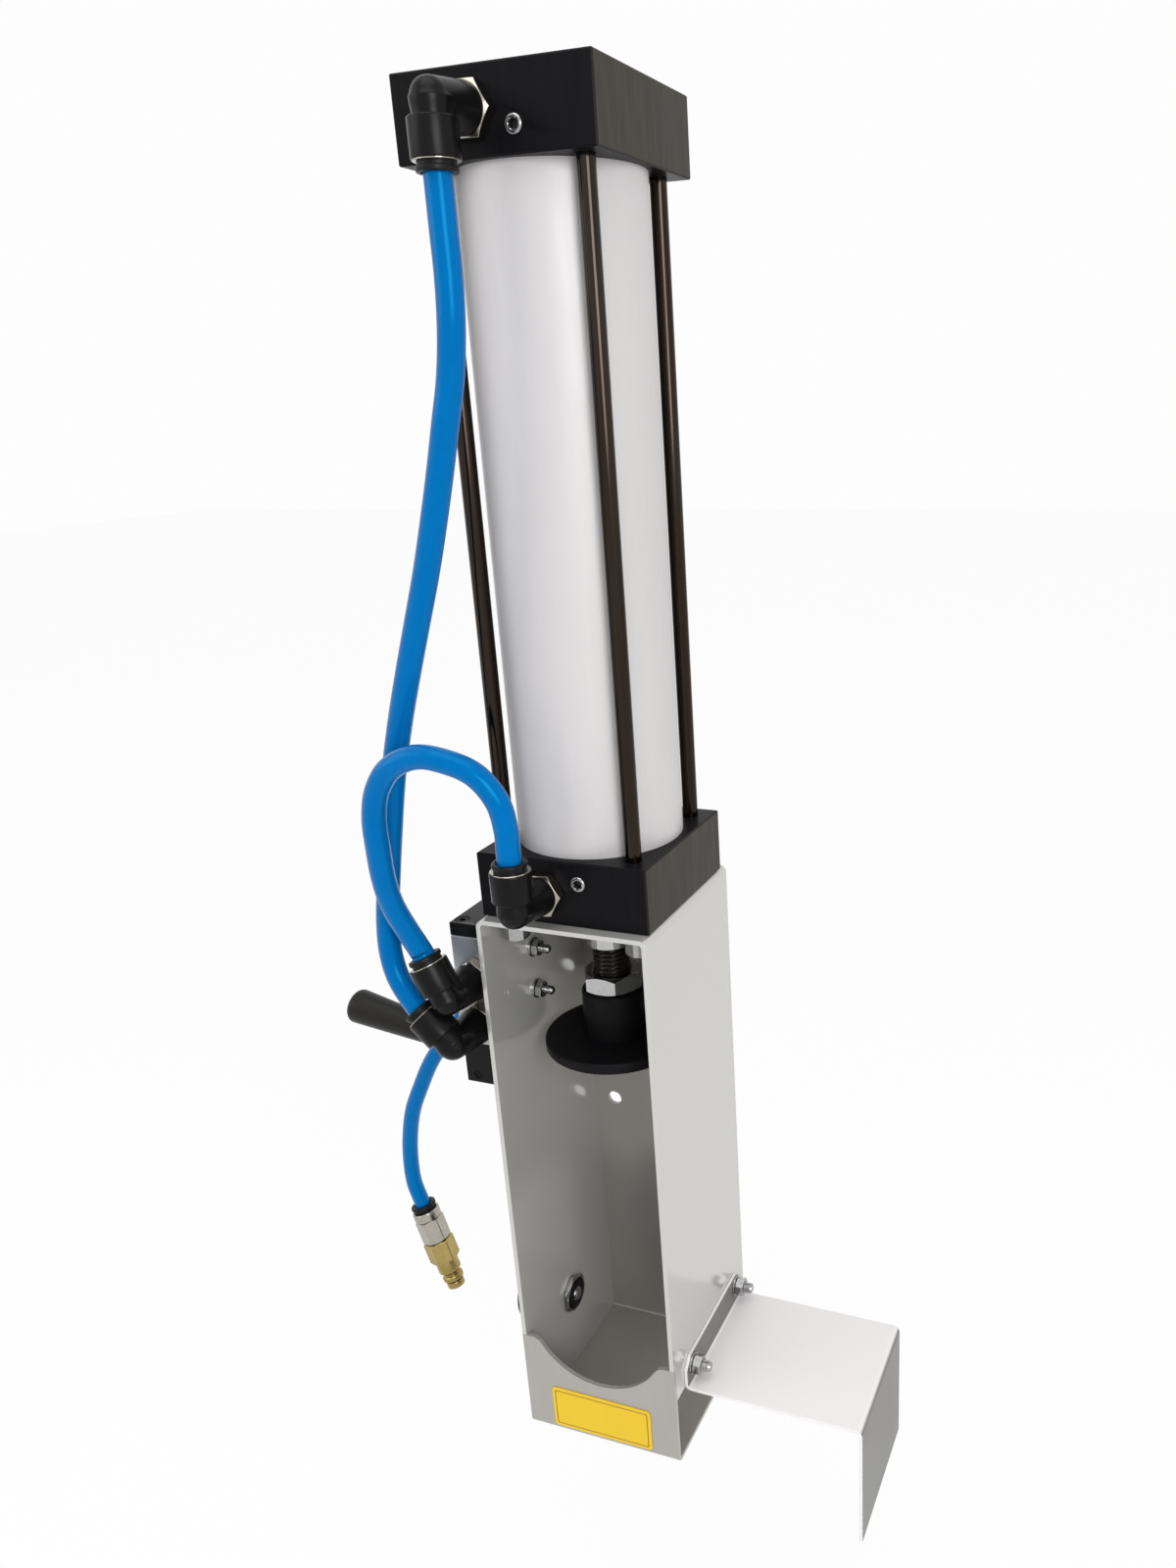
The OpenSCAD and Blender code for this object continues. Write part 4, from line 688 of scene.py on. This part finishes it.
# an oval flange outside the barrel and a skirt inside it, round the tube
def releaseCollar(name, node, body, tube, at, axis, begin, values):
    inner = tube + 0.2
    flange = tube + values["collarOut"] + values["collarOval"] * (np.cos(2 * ringAngles) - 1)
    skirt = tube + values["skirtOut"]
    top = begin + collarLength
    deep = begin - values["skirtDepth"]
    rows = [(inner, deep), (skirt, deep), (skirt, begin), (flange - 0.5, begin)]
    rows += [(flange - 0.5 + r, h) for r, h in arc((0, begin + 0.5), 0.5, -75, 0, 4)]
    rows += [(flange - 0.5 + r, h) for r, h in arc((0, top - 0.5), 0.5, 0, 90, 4)]
    rows += [(inner + 0.6, top), (inner, top - 0.5)]
    piece = turned(name, rows, at, axis, (0, 1, 0), loop=True)
    return dress(piece, body, node)


# a thin nickel ring in each elbow's mouth, which holds the collar
def holdingRing(name, elbow, values):
    inner = elbow["tube"] / 2 + values["skirtOut"] + 0.15
    outer = elbow["tube"] / 2 + values["barrelOut"] - 0.35
    end = outletLength(elbow)
    rows = [(inner, end - 0.8), (outer, end - 0.8), (outer, end + 0.05), (outer - 0.15, end + 0.2)]
    rows += [(inner, end + 0.2)]
    return turned(name, rows, cornerOf(elbow), outletWay(elbow), (0, 1, 0), loop=True)


def studPiece(name, elbow, values):
    bore, neck, thread = values["studBore"], values["studNeck"], values["studThread"]
    deep, hexEnd = values["studDepth"], values["studHexLength"]
    rows = [(bore, -deep), (thread, -deep), (thread, -0.6), (thread + 0.5, 0)]
    rows += hexRows(values["studHex"], 0, hexEnd, elbow["turn"])
    rows += [(neck, hexEnd), (neck, hexEnd + 6), (bore, hexEnd + 6)]
    return turned(name, rows, elbow["port"], (0, elbow["stud"], 0), loop=True)


rings, studs = [], []
for name, elbow in elbows.items():
    elbowBody("elbow_" + name, elbow, elbowShape)
    releaseCollar(
        "collar_" + name + "Ring", "collar_" + name, elbow["collarBody"], elbow["tube"] / 2, cornerOf(elbow),
        outletWay(elbow), outletLength(elbow) + collarGap, elbowShape)
    rings.append(holdingRing("holding" + name, elbow, elbowShape))
    studs.append(studPiece("stud" + name, elbow, elbowShape))
holdingRings = joinPieces("holdingRings", rings)
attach(holdingRings, "chute")
wear(holdingRings, "nickel")
dress(easeEdges(joinPieces("elbowStuds", studs), 0.15, 20), "chute", "elbow_studs")
print("elbows made:", len(elbows))

# the supply's end: collar, straight fitting and brass coupling plug
supplyEnd = {
    "mouth": 5, "fittingHex": 13, "fittingLength": 18, "thread": 4.6, "threadLength": 6, "bore": 2.6,
    "hexTurn": 20, "brassGap": 0.2, "brassHex": 14, "brassLength": 12,
    "shoulder": (5.9, 7),  # radius and length
    "neck": 4, "ring": 5.4, "nipple": 4.6, "nippleLength": 4,
}


def plugPieces(values):
    collar = [(4.2, 6), (5.5, 6), (5.5, 2)] + arc((5.9, 1.5), 0.5, 90, 0, 4) + arc((5.9, 0.5), 0.5, 0, -90, 4)
    collar += [(4.8, 0), (4.2, 0.5)]
    collarPiece = turned("plugCollar", collar, plugTop, plugWay, plugSide, loop=True)
    dress(collarPiece, "collar_coupling", "collar_plug")
    fitting = [(5.75, 7), (5.75, 0.3), (6, 0)] + arc((6.2, 0.8), 0.8, -90, 0, 5)
    fitting += [(7, values["mouth"] - 0.6), (6.4, values["mouth"]), (6.1, values["mouth"])]
    fittingEnd = values["fittingLength"]
    fitting += hexRows(values["fittingHex"], values["mouth"], fittingEnd, values["hexTurn"])
    thread, bore = values["thread"], values["bore"]
    threadEnd = fittingEnd + values["threadLength"]
    fitting += [(thread, fittingEnd), (thread, threadEnd), (bore, threadEnd), (bore, 7)]
    at = plugTop + plugBodyAt * plugWay
    fittingPiece = turned("plugFitting", fitting, at, plugWay, plugSide, loop=True)
    dress(easeEdges(fittingPiece, 0.12, 20), "chute", "plug_fitting")
    radius, length = values["shoulder"]
    neckAt = values["brassLength"] + length
    neck, ring = values["neck"], values["ring"]
    end = neckAt + 6 + values["nippleLength"]
    brass = [(4.7, 6.5), (4.7, 0)] + hexRows(values["brassHex"], 0, values["brassLength"], values["hexTurn"])
    brass += [(radius, values["brassLength"] + 0.01)] + arc((radius - 0.6, neckAt - 0.6), 0.6, 0, 60, 4)
    brass += [(neck + 0.3, neckAt + 1.2), (neck, neckAt + 1.6), (neck, neckAt + 2)]
    brass += arc((ring - 0.5, neckAt + 3.2), 0.5, -60, 0, 3) + arc((ring - 0.5, neckAt + 4.8), 0.5, 0, 60, 3)
    brass += [(neck - 0.5, neckAt + 5.4), (neck - 0.5, neckAt + 6.2)]
    brass += arc((values["nipple"] - 0.4, neckAt + 6.6), 0.4, -70, 0, 3)
    brass += arc((values["nipple"] - 0.8, end - 0.8), 0.8, 0, 90, 5)
    brass += [(bore + 0.4, end), (bore, end - 0.4), (bore, 6.5)]
    at = at + (values["fittingLength"] + values["brassGap"]) * plugWay
    brassPiece = turned("airPlug", brass, at, plugWay, plugSide, loop=True)
    dress(easeEdges(brassPiece, 0.12, 20), "chute", "air_plug")
    return collarPiece, fittingPiece, brassPiece


plugPieces(supplyEnd)
print("supply's end made")

# the ram's rod: coarse thread into the hub, two wrench flats, a ground shaft and a plain end in the piston
ramRod = {"radius": 10, "thread": 8, "pitch": 2, "threadTop": 71, "flatTop": 83, "flatLow": 73, "flats": 17}


def rodPiece(values):
    low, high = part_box("piston_rod")
    axisY = (low[1] + high[1]) / 2 / millimetre
    bottom, top = low[2] / millimetre, high[2] / millimetre
    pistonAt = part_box("piston")[0][2] / millimetre
    r, t = values["radius"], values["thread"]
    flatReach = np.minimum(r, values["flats"] / 2 / np.maximum(np.abs(np.cos(ringAngles)), 1e-3))
    rows = [(0, bottom), (t - 1, bottom)]
    rows += threadRows(t, values["pitch"], bottom + 0.4, values["threadTop"] - 1.2)
    rows += [(t - 1, values["threadTop"] - 1), (t - 1, values["threadTop"]), (r - 1, values["threadTop"])]
    rows += [(r, values["threadTop"] + 1), (r, values["flatLow"]), (flatReach, values["flatLow"] + 0.02)]
    rows += [(flatReach, values["flatTop"] - 0.02), (r, values["flatTop"]), (r, pistonAt - 0.05)]
    rows += [(t, pistonAt), (t, top - 0.6), (t - 0.6, top), (0, top)]
    rod = turned("pistonRod", rows, (0, axisY, 0), (0, 0, 1))
    dress(easeEdges(rod, 0.15, 40), "ram", "piston_rod")
    return wearOnFaces(rod, "rod_thread", lambda centre: centre[:, 2] < values["threadTop"])


rodPiece(ramRod)


# the middle of a node's box, and its lowest and highest corners
def boxOf(node):
    low, high = (np.array(c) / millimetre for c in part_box(node))
    return (low + high) / 2, low, high


# two places along one axis, each half a piece's width in from the ends of the node's box
def pairOf(node, axis, half):
    middle, low, high = boxOf(node)
    places = np.array([middle, middle])
    places[:, axis] = low[axis] + half, high[axis] - half
    return places


# a nut of one width and height, with chamfered corners and a countersunk bore
def nutShell(name, at, axis, side, height, values):
    bore = values["bore"]
    rows = hexRows(values["width"], 0, height, values["turn"])
    rows += [(bore + 0.5, height), (bore, height - 0.5), (bore, 0.5), (bore + 0.5, 0)]
    return turned(name, rows, at, axis, side, loop=True)


nuts = {
    "rodNut": {"node": "rod_nut", "body": "ram", "width": 24, "turn": 0, "bore": 8.1, "axis": 2},
    "ejectorNut": {"node": "ejector_nut", "body": "chute", "width": 17, "turn": 0, "bore": 7.05, "axis": 0},
}
for name, values in nuts.items():
    axis, side = np.eye(3)[values["axis"]], (0, 0, -1) if values["axis"] == 0 else (1, 0, 0)
    middle, low, high = boxOf(values["node"])
    height = (high - low)[values["axis"]]
    nut = nutShell(name, middle - axis * height / 2, axis, side, height, values)
    dress(easeEdges(nut, 0.18, 20), values["body"], values["node"])

# the needles: a round head with a hexagon socket, and a pointed end
needleScrew = {
    "radius": 3.2, "key": 3, "socketDepth": 3, "round": 0.8, "straight": 13, "point": 4, "tip": 1.5}


def needlePiece(name, node, body, values):
    middle, low = boxOf(node)[:2]
    r, soft, depth = values["radius"], values["round"], values["socketDepth"]
    socket = hexReach(values["key"])
    rows = [(0, depth + 0.6), (socket, depth), (socket, 0.25), (values["key"] * 0.66, 0)]
    rows += arc((r - soft, soft), soft, -90, 0, 7)
    rows += [(r, values["straight"]), (values["tip"], values["straight"] + values["point"])]
    rows += [(0, values["straight"] + values["point"])]
    at = np.array([middle[0], low[1], middle[2]])
    needle = dress(turned(name, rows, at, (0, 1, 0)), body, node)

    def inSocket(centre):
        away = np.hypot(centre[:, 0] - at[0], centre[:, 2] - at[2])
        return (away < values["key"] * 0.6) & (centre[:, 1] - at[1] < depth + 1)

    return wearOnFaces(needle, "socket", inSocket)


for name in ("upper", "lower"):
    needlePiece("needle" + name.title(), "needle_screw_" + name, "needle_" + name, needleScrew)

# screws and nuts of the guard and the valve, and the cylinder's bolts
wallBolts = {
    "guard": {"radius": 2.5, "pitch": 0.8, "head": 4.75, "headHeight": 2.6, "key": 3, "width": 8, "turn": 0,
              "socketDepth": 1.6, "threadLength": 10, "bore": 2.6, "along": 1,
              "screws": "guard_screws", "nuts": "guard_nuts"},
    "valve": {"radius": 2, "pitch": 0.7, "head": 3.6, "headHeight": 3, "key": 2.5, "width": 7, "turn": 0,
              "socketDepth": 1.6, "threadLength": 10, "bore": 2.1, "along": 2,
              "screws": "valve_screws", "nuts": "valve_nuts"},
}
cylinderBolts = {"radius": 3, "width": 10, "turn": 30, "headHeight": 9.5}


# a domed head with a hexagon socket, a plain shank and a thread with a chamfered end; its heights
# count from under the head
def buttonScrew(name, at, axis, length, threadFrom, values):
    r, head, high = values["radius"], values["head"], values["headHeight"]
    socket = hexReach(values["key"])
    deep = values["socketDepth"] - high
    rows = [(0, deep), (socket, deep), (socket, 0.1 - high), (values["key"] * 0.62, -high)]
    rows += [(head * math.cos(a), -high * math.sin(a) ** 0.9) for a in np.radians([58, 50, 38, 25, 12, 2])]
    rows += [(head - 0.3, 0), (r, 0), (r, threadFrom)]
    rows += threadRows(r, values["pitch"], threadFrom, length - 0.7) + [(r - 0.7, length), (0, length)]
    return turned(name, rows, at, axis, (0, 0, -1))


def boltedPair(name, values):
    across = values["width"] / 2 if values["along"] == 1 else hexReach(values["width"]).max()
    nutLow, nutHigh = boxOf(values["nuts"])[1:]
    screwLow, screwHigh = boxOf(values["screws"])[1:]
    underHead = screwLow[0] + values["headHeight"]
    screws, ends = [], []
    for i, place in enumerate(pairOf(values["nuts"], values["along"], across)):
        at = np.array([underHead, place[1], place[2]])
        length = screwHigh[0] - underHead
        threadFrom = length - values["threadLength"]
        screws.append(buttonScrew(name + "Screw" + str(i), at, (1, 0, 0), length, threadFrom, values))
        at = np.array([nutLow[0], place[1], place[2]])
        thick = nutHigh[0] - nutLow[0]
        ends.append(nutShell(name + "Nut" + str(i), at, (1, 0, 0), (0, 0, -1), thick, values))
    dress(joinPieces(name + "Screws", screws), "chute", values["screws"])
    dress(easeEdges(joinPieces(name + "Nuts", ends), 0.15, 20), "chute", values["nuts"])


def boltsUnderTop(values):
    low, high = boxOf("mounting_screws")[1:]
    r, head = values["radius"], values["headHeight"]
    length = high[2] - low[2]
    rows = [(0, 0)] + hexRows(values["width"], 0, head, values["turn"])
    rows += [(r, head), (r, length - 0.6), (r - 0.6, length), (0, length)]
    across = hexReach(values["width"], values["turn"])
    halfX = across[0]
    halfY = across[sides // 4]
    bolts = []
    for x in (low[0] + halfX, high[0] - halfX):
        for y in (low[1] + halfY, high[1] - halfY):
            bolts.append(turned("bolt" + str(len(bolts)), rows, (x, y, low[2]), (0, 0, 1)))
    dress(easeEdges(joinPieces("cylinderBolts", bolts), 0.15, 20), "chute", "mounting_screws")


for name, values in wallBolts.items():
    boltedPair(name, values)
boltsUnderTop(cylinderBolts)
print("screws and nuts made")

# the lever's tapered grip and the ejector's knob
leverGrip = {
    "pivot": (-54, -55, 13.6), "rise": 10.5, "length": 78, "grip": 48, "small": 5.75, "large": 8, "dome": 3.2}
ejectorKnob = {"rim": 1.6, "dish": 4.5, "dishDepth": 0.7}


def gripPiece(values):
    a = math.radians(values["rise"])
    way = np.array([-math.cos(a), 0, math.sin(a)])
    at = np.array(values["pivot"]) + (values["length"] - values["grip"]) * way
    small, large, end, dome = values["small"], values["large"], values["grip"], values["dome"]
    taper = np.linspace(0, 1, 12)
    rows = [(0, 0), (small - 0.8, 0)] + arc((small - 0.8, 0.8), 0.8, -90, 0, 4)
    rows += [(small + (large - small) * t ** 0.9, 0.8 + (end - dome - 0.8) * t) for t in taper[1:]]
    rows += arc((large - dome, end - dome), dome, 8, 78, 8)
    rows += [(large - dome - 1.5, end - 0.12), (0, end)]
    return dress(turned("leverGrip", rows, at, way), "lever", "lever_grip")


def knobPiece(values):
    middle, low, high = boxOf("ejector_knob")
    r, thick, rim = (high[2] - low[2]) / 2, high[0] - low[0], values["rim"]
    dish = r - values["dish"]
    rows = [(0, values["dishDepth"]), (dish - 1, values["dishDepth"]), (dish, 0.15), (dish + 0.4, 0)]
    rows += arc((r - rim, rim), rim, -90, 0, 6) + arc((r - rim, thick - rim), rim, 0, 90, 6) + [(0, thick)]
    knob = turned("ejectorKnob", rows, (low[0], middle[1], middle[2]), (1, 0, 0), (0, 0, -1))
    return dress(knob, "ejector", "ejector_knob")


def squashCoil():
    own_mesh(cadNodes["ejector_spring"])


gripPiece(leverGrip)
knobPiece(ejectorKnob)
squashCoil()
print("grip and knob made")

# stage: floor, lights, world; the daylight is stronger from above, and weaker from the front and right
studio = {
    "floorAt": -0.30, "floorHalf": 6, "floorColour": (0.93, 0.925, 0.925), "ownWhite": 0.92, "behind": 0.985,
    "daylight": 0.44, "fromAbove": 0.26, "fromFront": -0.06, "fromRight": -0.02,
    "lamps": {  # place, watts and size
        "frontLamp": ((1.2, -1.3, 0.6), 15, 0.8),
        "leftLamp": ((-1.3, -1.0, 0.9), 5, 1.0),
        "topLamp": ((0.1, -0.5, 1.6), 9, 1.2),
    },
}


# white where the camera, glass or metal sees it, with the object's shadow still on it
def floorLook(values):
    look = bpy.data.materials.new("floorLook")
    look.use_nodes = True
    tree = look.node_tree
    out = tree.nodes["Material Output"]
    shader = tree.nodes["Principled BSDF"]
    shader.inputs["Base Color"].default_value = (*values["floorColour"], 1)
    shader.inputs["Roughness"].default_value = 0.9
    shader.inputs["Specular IOR Level"].default_value = 0.1
    white = tree.nodes.new("ShaderNodeEmission")
    white.inputs["Strength"].default_value = 1
    blend = tree.nodes.new("ShaderNodeMixShader")
    tree.links.new(calculate(tree, "MULTIPLY", seenDirectly(tree), values["ownWhite"]), blend.inputs[0])
    tree.links.new(shader.outputs[0], blend.inputs[1])
    tree.links.new(white.outputs[0], blend.inputs[2])
    tree.links.new(blend.outputs[0], out.inputs[0])
    return look


# 1 on rays from the camera and on those that metal or glass throws on, 0 on the rest
def seenDirectly(tree):
    rays = tree.nodes.new("ShaderNodeLightPath")
    seen = calculate(tree, "MAXIMUM", rays.outputs["Is Camera Ray"], rays.outputs["Is Transmission Ray"])
    return calculate(tree, "MAXIMUM", seen, rays.outputs["Is Glossy Ray"])


def setStage(values):
    corners = values["floorHalf"] * np.array([(-1, -1), (1, -1), (1, 1), (-1, 1)], float)
    mesh = bpy.data.meshes.new("studioFloor")
    level = np.full((4, 1), values["floorAt"])
    mesh.from_pydata(np.hstack([corners, level]).tolist(), [], [(0, 1, 2, 3)])
    floor = bpy.data.objects.new("studioFloor", mesh)
    bpy.context.scene.collection.objects.link(floor)
    floor.data.materials.append(floorLook(values))
    world = bpy.data.worlds.new("studioWorld")
    bpy.context.scene.world = world
    world.use_nodes = True
    tree = world.node_tree
    tree.nodes.clear()
    out = tree.nodes.new("ShaderNodeOutputWorld")
    light = tree.nodes.new("ShaderNodeBackground")
    light.inputs["Color"].default_value = (1, 1, 1, 1)
    way = tree.nodes.new("ShaderNodeTexCoord")
    split = tree.nodes.new("ShaderNodeSeparateXYZ")
    tree.links.new(way.outputs["Generated"], split.inputs[0])
    daylight = calculate(tree, "MULTIPLY_ADD", split.outputs[2], values["fromAbove"], values["daylight"])
    daylight = calculate(tree, "MULTIPLY_ADD", split.outputs[1], -values["fromFront"], daylight)
    daylight = calculate(tree, "MULTIPLY_ADD", split.outputs[0], values["fromRight"], daylight)
    seen = seenDirectly(tree)
    unseen = calculate(tree, "MULTIPLY", calculate(tree, "SUBTRACT", 1, seen), daylight)
    tree.links.new(calculate(tree, "MULTIPLY_ADD", seen, values["behind"], unseen), light.inputs["Strength"])
    tree.links.new(light.outputs[0], out.inputs[0])


# a soft square lamp that faces a point
def setLamp(name, place, power, size, aim=(0, 0, 0.1)):
    data = bpy.data.lights.new(name, "AREA")
    data.energy = power
    data.size = size
    lamp = bpy.data.objects.new(name, data)
    lamp.location = place
    lamp.rotation_euler = (Vector(aim) - Vector(place)).to_track_quat("-Z", "Y").to_euler()
    bpy.context.scene.collection.objects.link(lamp)


setStage(studio)
for name, (place, power, size) in studio["lamps"].items():
    setLamp(name, place, power, size)
print("stage set")

bpy.context.scene.view_settings.view_transform = "Standard"
print("all pieces made")
